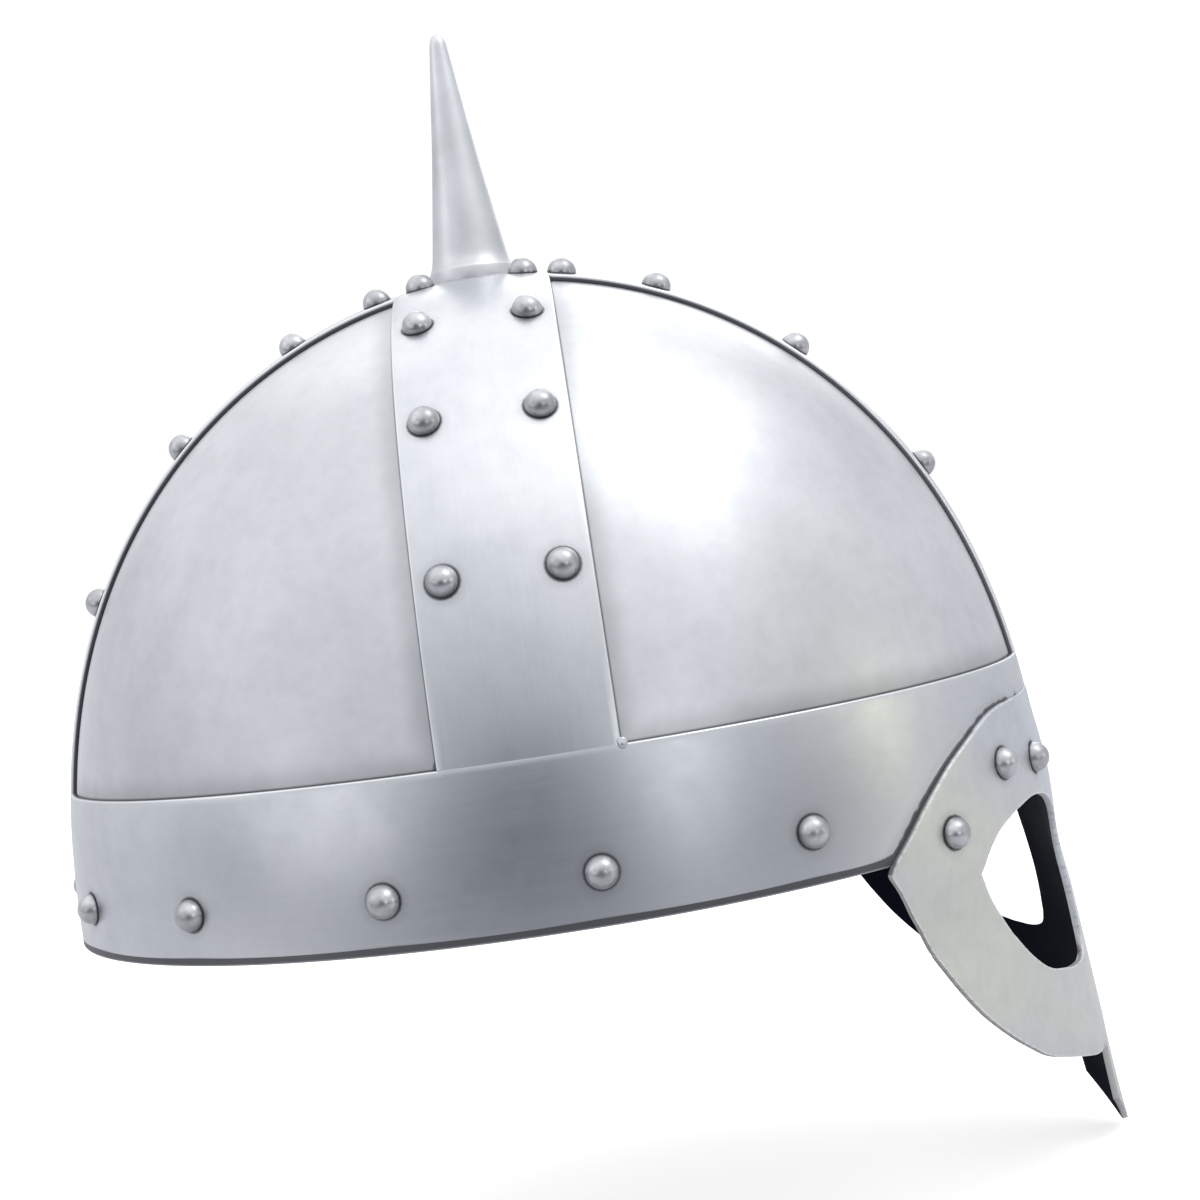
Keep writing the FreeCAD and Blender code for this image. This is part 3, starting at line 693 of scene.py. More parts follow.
def rivet_tree():
    """Rivet on every point, head outwards along the point's seat_normal."""
    inputs = (
        ("Geometry", "Geometry", None),
        ("Head radius", "Float", 0.00375),
        ("Head height", "Float", 0.0038),
        ("Crown flat", "Float", 0.00007),
        ("Shank radius", "Float", 0.0017),
        ("Tail radius", "Float", 0.0025),
        ("Tail height", "Float", 0.0010),
        ("Seed", "Int", 7),
        ("Material", "Material", None),
    )
    outputs = (("Geometry", "Geometry", None),)
    tree, given, out = open_group("Domed rivets", "GeometryNodeTree", inputs, outputs)

    def times(first, second):
        return maths(tree, "MULTIPLY", first, second)

    def button(segments, rings, radius, height, low, high):
        """Sphere squashed to a button of a height, cut off flat at low and at high."""
        given = {"Segments": segments, "Rings": rings, "Radius": 1.0}
        sphere = add_node(tree, "GeometryNodeMeshUVSphere", given).outputs["Mesh"]
        place = add_node(tree, "GeometryNodeInputPosition").outputs[0]
        x, y, z = add_node(tree, "ShaderNodeSeparateXYZ", {0: place}).outputs
        cut = maths(tree, "MAXIMUM", maths(tree, "MINIMUM", times(z, height), high), low)
        pressed = {0: times(x, radius), 1: times(y, radius), 2: cut}
        pressed = add_node(tree, "ShaderNodeCombineXYZ", pressed).outputs[0]
        given = {"Geometry": sphere, "Position": pressed}
        return add_node(tree, "GeometryNodeSetPosition", given).outputs[0]

    head_top = maths(tree, "SUBTRACT", given["Head height"], given["Crown flat"])
    head = button(32, 22, given["Head radius"], given["Head height"], -0.00012, head_top)
    tail = button(20, 12, given["Tail radius"], given["Tail height"], -1.0, 0.0)
    bar = {"Vertices": 16, "Radius": given["Shank radius"], "Depth": 1.0}
    shank = add_node(tree, "GeometryNodeMeshCylinder", bar).outputs["Mesh"]
    grip = named_attribute(tree, "grip", "FLOAT")
    normal = named_attribute(tree, "seat_normal", "FLOAT_VECTOR")
    aligned = add_node(tree, "FunctionNodeAlignRotationToVector", {"Vector": normal}, axis="Z")
    lean = {0: (-0.035, -0.035, -3.1), 1: (0.035, 0.035, 3.1), "Seed": given["Seed"]}
    lean = add_node(tree, "FunctionNodeRandomValue", lean, data_type="FLOAT_VECTOR").outputs[0]
    turned = {0: aligned.outputs[0], 1: lean}
    turned = add_node(tree, "FunctionNodeRotateRotation", turned, rotation_space="LOCAL").outputs[0]
    swell = {2: 0.975, 3: 1.02, "Seed": given["Seed"]}
    swell = add_node(tree, "FunctionNodeRandomValue", swell, data_type="FLOAT").outputs[1]

    def on_seats(shape, scale=(1.0, 1.0, 1.0)):
        seated = {"Points": given["Geometry"], "Instance": shape, "Rotation": turned, "Scale": scale}
        return add_node(tree, "GeometryNodeInstanceOnPoints", seated).outputs[0]

    def sunk(shapes, share):
        """Shapes pushed in from the seats by a share of the grip."""
        down = add_node(tree, "ShaderNodeCombineXYZ", {2: times(grip, -share)}).outputs[0]
        given = {"Instances": shapes, "Translation": down}
        return add_node(tree, "GeometryNodeTranslateInstances", given).outputs[0]

    long = add_node(tree, "ShaderNodeCombineXYZ", {0: 1.0, 1: 1.0, 2: grip}).outputs[0]
    join = add_node(tree, "GeometryNodeJoinGeometry")
    for part in (on_seats(head, swell), sunk(on_seats(shank, long), 0.5), sunk(on_seats(tail), 1.0)):
        tree.links.new(part, join.inputs[0])
    close_tree(tree, join.outputs[0], given["Material"], out)
    return tree


def set_input(modifier, label, value):
    """Sets a tree's named input on its modifier."""
    for item in modifier.node_group.interface.items_tree:
        if item.in_out == "INPUT" and item.name == label:
            modifier[item.identifier] = value


def realised(obj, name):
    """Plain mesh object from what an object's modifiers make."""
    held = obj.evaluated_get(bpy.context.evaluated_depsgraph_get())
    mesh = bpy.data.meshes.new_from_object(held)
    mesh.name = name
    bpy.data.objects.remove(obj)
    made = bpy.data.objects.new(name, mesh)
    scene.collection.objects.link(made)
    return made


def stamped(name, holder_name, points, layers, tree, settings):
    """Mesh that a tree makes from points with named layers."""
    mesh = bpy.data.meshes.new(holder_name)
    mesh.from_pydata(points, [], [])
    for label, values in layers.items():
        write_layer(mesh, label, values)
    holder = bpy.data.objects.new(holder_name, mesh)
    scene.collection.objects.link(holder)
    modifier = holder.modifiers.new(name, "NODES")
    modifier.node_group = tree
    for label, value in settings.items():
        set_input(modifier, label, value)
    return realised(holder, name)


RIVET_STEEL = steel_finish(
    "Rivet steel, burnished",
    {
        "Bright tone": (0.50, 0.505, 0.52, 1),
        "Dull tone": (0.36, 0.365, 0.375, 1),
        "Cloud scale": 240.0,
        "Base roughness": 0.30,
        "Edge highlight and wear": 0.0,
        "Brush stretch": (400, 400, 1),
    },
)
RIVET_TREE = rivet_tree()

RIVET_REACH = 0.006
HEAD_GAP = 0.0040
HEAD_GAP_RISE = 1.6


def rivet_piece(node_name, seats, seed):
    """One group of rivets, each with a normal and a grip, and a dark ring painted at the foot of its head,
    as shade and grime.
    """
    points = [seat for seat, grip in seats]
    normals = [bowl_normal(seat) for seat in points]
    layers = {"seat_normal": normals, "grip": [grip for seat, grip in seats]}
    settings = {"Seed": seed, "Material": RIVET_STEEL}
    heads = stamped(node_name + "_heads", node_name + "_seats", points, layers, RIVET_TREE, settings)
    places = mesh_points(heads.data)
    rise = np.full(len(places), 1.0)
    for seat, normal in zip(points, normals):
        offset = places - np.array(seat)
        near = np.linalg.norm(offset, axis=1) < RIVET_REACH
        rise = np.where(near, np.maximum(offset @ np.array(normal), 0.0), rise)
    write_layer(heads.data, "edge_gap", no_edge(places))
    # The lowest part of each head is painted dark, as contact shade and grime, fading as it rises.
    write_layer(heads.data, "rivet_gap", HEAD_GAP + rise * HEAD_GAP_RISE)
    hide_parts(node_name)
    return dress(heads, "rivet_steel", RIVET_STEEL)


for seed, (node_name, seats) in enumerate(RIVET_SETS.items(), start=3):
    rivet_piece(node_name, seats, seed)

# The bands and plates get their finish once the rivets that mark them are known.
for obj, node_name in (
    (brow_band, "brow_band"),
    (crest_band, "crest_band"),
    (side_bands["right"], "side_band_right"),
    (side_bands["left"], "side_band_left"),
):
    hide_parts(node_name)
    dress(obj, "band_steel", BAND_STEEL)

PLATE_STEEL = steel_finish(
    "Plate steel, satin",
    {
        "Bright tone": (0.66, 0.67, 0.69, 1),
        "Dull tone": (0.50, 0.51, 0.53, 1),
        "Cloud scale": 10.0,
        "Cloud offset": (0.35, 0.1, 0.2),
        "Base roughness": 0.37,
        "Edge highlight and wear": 0.0,
        # Painted shade on the plates beside the bands: a dark line at each band's edge and a softer darker
        # margin.
        "Edge painted shade": 0.75,
        "Brush stretch": (300, 500, 1),
    },
)
for word, plate in plates.items():
    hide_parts("panel_" + word)
    dress(plate, "panel_steel", PLATE_STEEL)

# ---------------------------------------------------------------------------
# Weld beads.  A small bead of weld is left where each side band meets the
# brow band, at its front corner.
# ---------------------------------------------------------------------------
BEAD_RADIUS = 0.0012
BEAD_FLAT = 0.62
BEAD_LUMP = 0.12
BEAD_FORWARD = 0.0003
BEAD_LIFT = 0.0002

for side, word in ((-1, "right"), (1, "left")):
    ball = bmesh.new()
    bmesh.ops.create_icosphere(ball, subdivisions=3, radius=BEAD_RADIUS)
    corner_y = CROSSING_Y - BAND_HALF_WIDTH
    share = float(bowl_share(BROW_HEIGHT))
    corner_x = side * HALF_WIDTH * math.sqrt(share ** 2 - ((corner_y - BOWL_CENTRE) / HALF_LENGTH) ** 2)
    for vert in ball.verts:
        lump = 1.0 + BEAD_LUMP * math.sin(vert.co.x * 3100 + vert.co.z * 2300)
        x = vert.co.x * BEAD_FLAT * lump + corner_x
        y = vert.co.y * lump + corner_y - BEAD_FORWARD
        z = vert.co.z * lump + BROW_HEIGHT + BEAD_LIFT
        vert.co = Vector((x, y, z))
    bead_mesh = bpy.data.meshes.new("weld_bead_" + word)
    ball.to_mesh(bead_mesh)
    ball.free()
    bead_mesh.shade_smooth()
    bead = bpy.data.objects.new("weld_bead_" + word, bead_mesh)
    scene.collection.objects.link(bead)
    note_gaps(bead, no_edge, [])
    dress(bead, "band_steel", BAND_STEEL)

# ---------------------------------------------------------------------------
# Spectacle guard.  One 1.6 mm sheet with two eye openings, creased down the
# nose and riveted outside the brow band: satin outside, black paint inside.
# ---------------------------------------------------------------------------
GUARD_NOSE = 0.00055
GUARD_LEAN = 0.0925
GUARD_SWEEP = 0.05
GUARD_CURL = 8.55
GUARD_BEND = -5.0
GUARD_BLEND = 0.026
NASAL_Z = -0.060
NASAL_HOOK = 0.8
NASAL_CREASE = 3.5
WING_ANGLE = math.radians(33.0)
WING_Y = -0.130
GUARD_TOP = 0.0292
GUARD_CELL = 0.0022
GUARD_CELL_SPANS = ((0, -0.004, 0.105), (1, -0.092, 0.030))
GUARD_TOP_RUNS = (0.002, 0.047)
GUARD_EASED_EDGE = 0.0003
NOSE_SNAP = 4e-5


def guard_skin_y(x, z):
    """Depth of the guard's outer face, on the brow band above the rim and swept back below it."""
    share = bowl_share(z, GUARD_SKIN)
    side = (x / (HALF_WIDTH + GUARD_SKIN)) ** 2
    reach = (HALF_LENGTH + GUARD_SKIN) * np.sqrt(np.maximum(share ** 2 - side, 0))
    low = np.maximum(NASAL_Z - z, 0.0)
    nose = BOWL_CENTRE - HALF_LENGTH - GUARD_SKIN - GUARD_NOSE
    ridge = nose + GUARD_LEAN * np.minimum(z, 0.0) - NASAL_HOOK * low * low
    swept = ridge + (GUARD_SWEEP + NASAL_CREASE * low) * x + GUARD_CURL * x ** 2 + GUARD_BEND * x ** 3
    mix = np.clip(-z / GUARD_BLEND, 0.0, 1.0)
    mix = mix * mix * (3.0 - 2.0 * mix)
    return (1.0 - mix) * (BOWL_CENTRE - reach) + mix * swept


def ridge_run(z):
    """Run along the wing at which the nose ridge lies."""
    return (float(guard_skin_y(np.array(0.0), np.array(z))) - WING_Y) * math.sin(WING_ANGLE)


def curve_point(p0, p1, p2, p3, t):
    """Point of a smooth curve between p1 and p2."""
    bend = (2 * p0 - 5 * p1 + 4 * p2 - p3) * t ** 2
    return 0.5 * (2 * p1 + (p2 - p0) * t + bend + (3 * p1 - p0 - 3 * p2 + p3) * t ** 3)


def smooth_run(points, step=0.0012):
    """Points along a smooth curve through the given ones, which are in millimetres."""
    given = [Vector(p) / 1000 for p in points]
    ends = [2 * given[0] - given[1]] + given + [2 * given[-1] - given[-2]]
    line = []
    for p0, p1, p2, p3 in zip(ends, ends[1:], ends[2:], ends[3:]):
        count = max(int((p2 - p1).length / step), 1)
        line += [curve_point(p0, p1, p2, p3, i / count) for i in range(count)]
    return line


# Outline of the flat wing and of its eye opening, in millimetres along the wing and up.
GUARD_UPPER = (
    (48.0, 29.2), (56.8, 28.8), (64.0, 27.5), (71.2, 24.7), (82.1, 19.2), (91.5, 12.1), (99.2, 4.4),
    (102.4, 1.2),
)
GUARD_TIP = ((102.4, 1.2), (104.3, -1.6), (103.2, -3.9))
GUARD_LOWER = (
    (103.2, -3.9), (97.4, -12.1), (92.7, -17.8), (86.8, -26.3), (81.5, -34.1), (75.4, -41.5),
    (67.9, -48.2), (60.3, -53.6), (51.1, -58.5), (31.5, -64.1), (23.5, -65.8), (18.2, -66.0),
)
GUARD_NOTCH = ((18.2, -66.0), (15.3, -64.8), (13.6, -65.6), (12.9, -68.0))
EYE_TOP = (
    (16.3, -37.0), (15.7, -28.0), (16.2, -20.0), (17.5, -13.5), (20.1, -7.5), (24.6, -2.4),
    (31.3, 1.8), (39.5, 4.2), (47.7, 5.0), (54.5, 4.3), (60.8, 3.1), (68.1, 0.6), (72.6, -2.9),
    (75.2, -8.0),
)
EYE_BOTTOM = (
    (75.2, -8.0), (69.1, -14.8), (63.4, -20.7), (58.3, -27.0), (52.4, -33.2), (44.8, -38.2),
    (34.2, -40.8), (28.7, -41.6), (22.2, -41.8), (17.8, -40.4), (16.3, -37.0),
)
NASAL_SHOULDER = (10.5, -81.8)
NASAL_TIP_Z = -0.0918


def wing_sheet():
    """Flat wing with its eye opening, cut into cells."""
    outline = [Vector((ridge_run(z), z)) for z in np.linspace(NASAL_TIP_Z, GUARD_TOP, 60)]
    outline += [Vector((s, GUARD_TOP)) for s in np.linspace(*GUARD_TOP_RUNS, 22)]
    for part in (GUARD_UPPER, GUARD_TIP, GUARD_LOWER, GUARD_NOTCH):
        outline += smooth_run(part)
    outline += [Vector(GUARD_NOTCH[-1]) / 1000, Vector(NASAL_SHOULDER) / 1000]
    eye = smooth_run(EYE_TOP) + smooth_run(EYE_BOTTOM)
    loops = [[Vector((p.x, p.y, 0)) for p in loop] for loop in (outline, eye)]
    flat = bmesh.new()
    for loop in loops:
        verts = [flat.verts.new(p) for p in loop]
        for first, second in zip(verts, verts[1:] + verts[:1]):
            flat.edges.new((first, second))
    bmesh.ops.triangle_fill(flat, use_beauty=True, use_dissolve=False, edges=flat.edges[:])
    for axis, low, high in GUARD_CELL_SPANS:
        for place in np.arange(low, high, GUARD_CELL):
            point = Vector((0, 0, 0))
            point[axis] = place
            square = Vector((0, 0, 0))
            square[axis] = 1.0
            everything = flat.verts[:] + flat.edges[:] + flat.faces[:]
            bmesh.ops.bisect_plane(flat, geom=everything, dist=1e-6, plane_co=point, plane_no=square)
    bmesh.ops.remove_doubles(flat, verts=flat.verts[:], dist=0.00012)
    return flat


def lay_on_guard(run, height):
    """Point of the guard's outer face that a point of the flat wing is pressed on to."""
    low = np.full(len(run), -0.04)
    high = np.full(len(run), 0.06)
    for _ in range(40):
        middle = (low + high) / 2
        x = run * math.cos(WING_ANGLE) + middle * math.sin(WING_ANGLE)
        y = WING_Y + run * math.sin(WING_ANGLE) - middle * math.cos(WING_ANGLE)
        behind = y > guard_skin_y(x, height)
        low = np.where(behind, middle, low)
        high = np.where(behind, high, middle)
    return x, y


flat_wing = wing_sheet()
flat_wing.verts.ensure_lookup_table()
run = np.array([v.co.x for v in flat_wing.verts])
height = np.array([v.co.y for v in flat_wing.verts])
wing_x, wing_y = lay_on_guard(run, height)
wing_x = np.where(np.abs(wing_x) < NOSE_SNAP, 0.0, wing_x)
wing_faces = [tuple(v.index for v in face.verts) for face in flat_wing.faces]
flat_wing.free()
left = np.column_stack([wing_x, wing_y, height])
right = left * np.array([-1, 1, 1])
both_faces = wing_faces + [tuple(i + len(left) for i in reversed(face)) for face in wing_faces]
runs = np.concatenate([run, -run])
heights = np.concatenate([height, height])
guard_uvs = [(runs[i], heights[i]) for face in both_faces for i in face]
guard = steel_mesh("spectacle_guard_steel", np.vstack([left, right]), both_faces, guard_uvs)
work = bmesh.new()
work.from_mesh(guard.data)
bmesh.ops.remove_doubles(work, verts=work.verts[:], dist=2e-5)
bmesh.ops.recalc_face_normals(work, faces=work.faces[:])
if sum(face.normal.y * face.calc_area() for face in work.faces) > 0:
    bmesh.ops.reverse_faces(work, faces=work.faces[:])
work.to_mesh(guard.data)
work.free()
guard.data.shade_smooth()
wall = guard.modifiers.new("sheet", "SOLIDIFY")
wall.thickness = GUARD_SHEET
wall.offset = -1.0
wall.use_even_offset = False
wall.material_offset = 1
wall.material_offset_rim = 0
ease = guard.modifiers.new("eased edges", "BEVEL")
ease.limit_method = "ANGLE"
ease.angle_limit = math.radians(60)
ease.width = GUARD_EASED_EDGE
ease.segments = 2
ease.use_clamp_overlap = True

GUARD_STEEL = steel_finish(
    "Guard steel, satin",
    {
        "Bright tone": (0.585, 0.590, 0.545, 1),
        "Dull tone": (0.535, 0.555, 0.595, 1),
        "Cloud scale": 12.0,
        "Cloud offset": (0.2, 0.7, 0.1),
        "Base roughness": 0.40,
        # Bright line along the guard's rims: painted highlight and wear.
        "Edge highlight and wear": 1.0,
        "Brush stretch": (500, 200, 1),
    },
)


def black_paint():
    """Brushed-on black enamel, uneven, over steel."""
    material, tree, shader = new_material("Black paint")
    drag = noise(tree, add_node(tree, "ShaderNodeTexCoord").outputs["Object"], 140.0, 5.0)
    tone = blended(tree, drag, (0.002, 0.003, 0.008, 1), (0.006, 0.010, 0.019, 1))
    gloss = ranged(tree, drag, (0.0, 1.0), (0.48, 0.72), "LINEAR")
    shader.inputs["Specular IOR Level"].default_value = 0.03
    join_shader(tree, shader, tone, gloss, drag, 0.0001)
    return material


guard.data.materials.append(GUARD_STEEL)
guard.data.materials.append(black_paint())
guard = realised(guard, "spectacle_guard_steel")
guard.data.set_sharp_from_angle(angle=math.radians(28))

# Over the nose the sheet is let in flush with the brow band, and filled.
FLUSH_FROM_Z = 0.004
FLUSH_RISE = 0.023
FLUSH_REACH = 0.047
FLUSH_EASE = 0.020
FLUSH_LEFT_PROUD = 0.00018


def eased(share):
    share = min(max(share, 0.0), 1.0)
    return share * share * (3 - 2 * share)


for vert in guard.data.vertices:
    level = eased((vert.co.z - FLUSH_FROM_Z) / FLUSH_RISE)
    middle = eased((FLUSH_REACH - abs(vert.co.x)) / FLUSH_EASE)
    vert.co.y += level * middle * (GUARD_SKIN - FLUSH_LEFT_PROUD)
GUARD_PARTS = (GUARD_UPPER, GUARD_TIP, GUARD_LOWER, GUARD_NOTCH, EYE_TOP, EYE_BOTTOM)
GUARD_RIMS = [(p.x, p.y) for part in GUARD_PARTS for p in smooth_run(part)]
GUARD_SEAM = [(0.030, GUARD_TOP), (0.040, GUARD_TOP)] + [(p.x, p.y) for p in smooth_run(GUARD_UPPER)]


def wing_run(points):
    """Run of each point along the flat wing, the same on both sides."""
    return np.abs(points[:, 0]) * math.cos(WING_ANGLE) + (points[:, 1] - WING_Y) * math.sin(WING_ANGLE)


def rim_gap(points, rim):
    """Distance from each point to a rim on the flat wing."""
    run = wing_run(points)
    gap = np.full(len(points), 1.0)
    for rim_run, rim_z in rim:
        gap = np.minimum(gap, np.hypot(run - rim_run, points[:, 2] - rim_z))
    return gap


note_gaps(guard, lambda points: rim_gap(points, GUARD_RIMS), seats_of("rivets_guard"))

SEAM_GAP = 0.0036
SEAM_LEAST = 0.003
SEAM_BACK_Y = -0.02
SEAM_NOSE_RUN = 0.030


def mark_under_guard():
    """Painted shadow line on the brow band along the guard's upper edge, kept as a small rivet_gap."""
    mesh = brow_band.data
    points = mesh_points(mesh)
    gap = np.zeros(len(points), dtype=np.float32)
    mesh.attributes["rivet_gap"].data.foreach_get("value", gap)
    run = wing_run(points)
    near = rim_gap(points, GUARD_SEAM)
    beyond = points[:, 2] > np.interp(run, *np.array(GUARD_SEAM).T)
    off_guard = 0.02 * (points[:, 1] > SEAM_BACK_Y)
    reach = SEAM_GAP + np.where(beyond, near, -near) + off_guard + 0.0006 * (run < SEAM_NOSE_RUN)
    write_layer(mesh, "rivet_gap", np.minimum(gap, np.maximum(reach, SEAM_LEAST)))


mark_under_guard()
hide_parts("spectacle_guard")
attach(guard, "root")

# ---------------------------------------------------------------------------
# Crown spike.  Turned from bar to a long cone with a rounded tip, with a foot
# that flares out on to the crown.  Its stud goes through the crown to a
# washer and a nut inside.
# ---------------------------------------------------------------------------
SPIKE_TIP_Z = 0.2202
SPIKE_PROFILE = (
    (0.00, 220.2), (0.75, 220.0), (1.45, 219.45), (2.00, 218.3), (2.30, 217.0), (2.75, 213.6),
    (4.50, 200.0), (5.80, 189.5), (7.30, 179.0), (8.75, 169.0), (9.55, 163.6), (10.1, 160.4),
    (10.8, 158.2), (11.25, 157.2),
)
STUD_RADIUS = 0.003
STUD_END_Z = 0.145
SPIKE_AROUND = 96
SPIKE_STEPS = 5
SPIKE_SEAT_GAP = 0.00002


def spike_lathe():
    """Turned solid: the cone, its foot fitted to the crown, and the stud."""
    profile = [Vector((r / 1000, z / 1000)) for r, z in SPIKE_PROFILE]
    fine = []
    ends = [Vector((-profile[1].x, profile[1].y))] + profile + [2 * profile[-1] - profile[-2]]
    for p0, p1, p2, p3 in zip(ends, ends[1:], ends[2:], ends[3:]):
        fine += [curve_point(p0, p1, p2, p3, i / SPIKE_STEPS) for i in range(SPIKE_STEPS)]
    fine = fine[1:] + [profile[-1]]
    around = SPIKE_AROUND
    turns = np.linspace(0, 2 * math.pi, around, endpoint=False)
    points = [(0.0, CROSSING_Y, SPIKE_TIP_Z)]
    for p in fine:
        points += [(p.x * math.cos(a), CROSSING_Y + p.x * math.sin(a), p.y) for a in turns]
    foot = profile[-1].x
    seat_radii = (foot, STUD_RADIUS, STUD_RADIUS)
    for index, radius in enumerate(seat_radii):
        for a in turns:
            x, y = radius * math.cos(a), CROSSING_Y + radius * math.sin(a)
            z = STUD_END_Z if index == 2 else float(bowl_height(x, y)) + SPIKE_SEAT_GAP
            points.append((x, y, z))
    points.append((0.0, CROSSING_Y, STUD_END_Z))
    faces = []
    uvs = []
    rings = len(fine) + len(seat_radii)
    for j in range(around):
        beside = (j + 1) % around
        faces.append((0, 1 + j, 1 + beside))
        uvs += [(0.5 * j / around, 0.22)] * 3
        for i in range(rings - 1):
            a, b = 1 + i * around, 1 + (i + 1) * around
            faces.append((a + j, b + j, b + beside, a + beside))
            u0, u1 = 0.06 * j / around, 0.06 * (j + 1) / around
            uvs += [(u0, points[a][2]), (u0, points[b][2]), (u1, points[b][2]), (u1, points[a][2])]
        last = 1 + (rings - 1) * around
        faces.append((last + j, len(points) - 1, last + beside))
        uvs += [(0.5 * j / around, 0.14)] * 3
    return steel_mesh("crown_spike_steel", points, faces, uvs)


spike = spike_lathe()
note_gaps(spike, no_edge, [])
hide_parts("crown_spike")
SPIKE_STEEL = steel_finish(
    "Spike steel, turned and brushed",
    {
        "Bright tone": (0.62, 0.63, 0.65, 1),
        "Dull tone": (0.50, 0.505, 0.52, 1),
        "Cloud scale": 40.0,
        "Base roughness": 0.38,
        "Edge highlight and wear": 0.0,
        "Brush stretch": (2500, 60, 1),
    },
)
dress(spike, "spike_steel", SPIKE_STEEL)

ZINC_STEEL = steel_finish(
    "Hardware steel, plain",
    {
        "Bright tone": (0.52, 0.53, 0.55, 1),
        "Dull tone": (0.36, 0.37, 0.38, 1),
        "Cloud scale": 120.0,
        "Base roughness": 0.38,
        "Edge highlight and wear": 0.0,
    },
)
for node_name in ("crown_washer", "crown_nut"):
    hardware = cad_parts[node_name]
    if not hardware.material_slots:
        hardware.data.materials.append(ZINC_STEEL)
    for slot in hardware.material_slots:
        slot.material = ZINC_STEEL

# ---------------------------------------------------------------------------
# Leather liner.  A vegetable-tanned head band held by the brow rivets, eight
# tongues sewn inside it that follow the bowl, and a crown ring that gathers
# their ends.  It is cut from 2 mm hide and sewn with waxed thread.
# ---------------------------------------------------------------------------
LINER_SKIN = -0.0031
LINER_SHEET = 0.0020
LINER_BOTTOM = 0.0075
LINER_TOP = 0.0420
TONGUE_SKIN = -0.0054
TONGUE_SHEET = 0.0018
TONGUE_BOTTOM = 0.022
TONGUE_COUNT = 8
TONGUE_WAIST = 0.25
TONGUE_SAG = 0.0022
RING_SKIN = -0.0075
RING_RADII = (0.011, 0.038)
LEATHER_EASE = 0.0006
LEATHER_SLACK = 0.00022
LEATHER_PARED = 0.0003


def hide_leather(name, light, dark):
    """Undyed hide: mottled tan, fine pores and creases, darker where it is handled."""
    material, tree, shader = new_material(name)
    where = add_node(tree, "ShaderNodeTexCoord").outputs["Object"]
    mottle = noise(tree, where, 34.0, 6.0)
    pores = add_node(tree, "ShaderNodeTexVoronoi", {"Vector": where, "Scale": 900.0}).outputs["Distance"]
    creases = noise(tree, where, 380.0, 7.0)
    tone = blended(tree, ranged(tree, mottle, (0.32, 0.68), (0.0, 1.0), "LINEAR"), dark, light)
    shade = ranged(tree, creases, (0.0, 1.0), (0.55, 1.1), "LINEAR")
    gloss = ranged(tree, creases, (0.0, 1.0), (0.52, 0.80), "LINEAR")
    depth = maths(tree, "ADD", pores, creases)
    join_shader(tree, shader, blended(tree, 0.5, tone, shade, "MULTIPLY"), gloss, depth, 0.00025, 0.8)
    return material


BAND_LEATHER = hide_leather("Head band leather", (0.30, 0.19, 0.11, 1), (0.17, 0.10, 0.055, 1))
TONGUE_LEATHER = hide_leather("Tongue leather", (0.40, 0.26, 0.15, 1), (0.25, 0.155, 0.09, 1))


def leather_wave(angle):
    """Slight waviness of a hide strip bent round the head."""
    return 0.00012 * math.sin(9 * angle + 0.7) + 0.00009 * math.sin(17 * angle + 2.1)


def head_band_place(angle, w, d):
    skin = LINER_SKIN - d - LEATHER_SLACK + leather_wave(angle)
    share = bowl_share(w, skin)
    x = (HALF_WIDTH + skin) * share * math.sin(angle)
    y = BOWL_CENTRE - (HALF_LENGTH + skin) * share * math.cos(angle)
    return np.column_stack([x, y, w])


def head_band_section(angle):
    sheet = LINER_SHEET - LEATHER_PARED
    return strip_section(LINER_BOTTOM, LINER_TOP, sheet, 20, LEATHER_EASE, LEATHER_EASE)


round_head = list(np.linspace(0, 2 * math.pi, 300, endpoint=False))
head_band = sweep_strip("liner_head_band", round_head, head_band_section, head_band_place, closed=True)
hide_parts("liner_band")
dress(head_band, "liner_leather", BAND_LEATHER)

TONGUE_SPREAD = math.pi / TONGUE_COUNT - math.radians(1.8)
TONGUE_TOP_RADIUS = 0.0245


def tongue_place_at(heading):
    def tongue_place(rise_share, w, d):
        taper = 1.0 - TONGUE_WAIST * math.sin(math.pi * min(rise_share * 1.1, 1.0)) ** 2
        angle = heading + w * TONGUE_SPREAD * taper
        out_x, out_y = np.sin(angle), -np.cos(angle)
        skin = TONGUE_SKIN - TONGUE_SAG * math.sin(math.pi * rise_share) * (1 - 0.5 * w ** 2) - d
        flat = np.zeros(len(w))
        foot = np.column_stack([flat, flat + CROSSING_Y, flat + TONGUE_BOTTOM])
        low = on_bowl(foot, np.column_stack([out_x, out_y, flat]), skin)
        low_rise = np.arctan2(TONGUE_BOTTOM, np.hypot(low[:, 0], low[:, 1] - CROSSING_Y))
        top = bowl_height(TONGUE_TOP_RADIUS * out_x, CROSSING_Y + TONGUE_TOP_RADIUS * out_y, skin)
        high_rise = np.arctan2(top, TONGUE_TOP_RADIUS)
        rise = low_rise + (high_rise - low_rise) * rise_share
        rays = np.column_stack([out_x * np.cos(rise), out_y * np.cos(rise), np.sin(rise)])
        return on_bowl(foot - [0.0, 0.0, TONGUE_BOTTOM], rays, skin)

    return tongue_place


def tongue_section(rise_share):
    w, d = strip_section(-1.0, 1.0, 1.0, 14, 0.03, 0.03)
    return w, np.where(d >= 1.0, TONGUE_SHEET, d / 0.03 * LEATHER_EASE)


def tongue_heading(index):
    return 2 * math.pi * (index + 0.5) / TONGUE_COUNT


tongue_objects = []
for index in range(TONGUE_COUNT):
    place = tongue_place_at(tongue_heading(index))
    stations = list(np.linspace(0, 1, 44))
    tongue_objects.append(sweep_strip("tongue_%d" % index, stations, tongue_section, place, closed=False))
tongues = tongue_objects[0]
with bpy.context.temp_override(active_object=tongues, selected_editable_objects=tongue_objects):
    bpy.ops.object.join()
tongues.name = "liner_leather_tongues"
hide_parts("liner_tongues")
dress(tongues, "liner_leather", TONGUE_LEATHER)


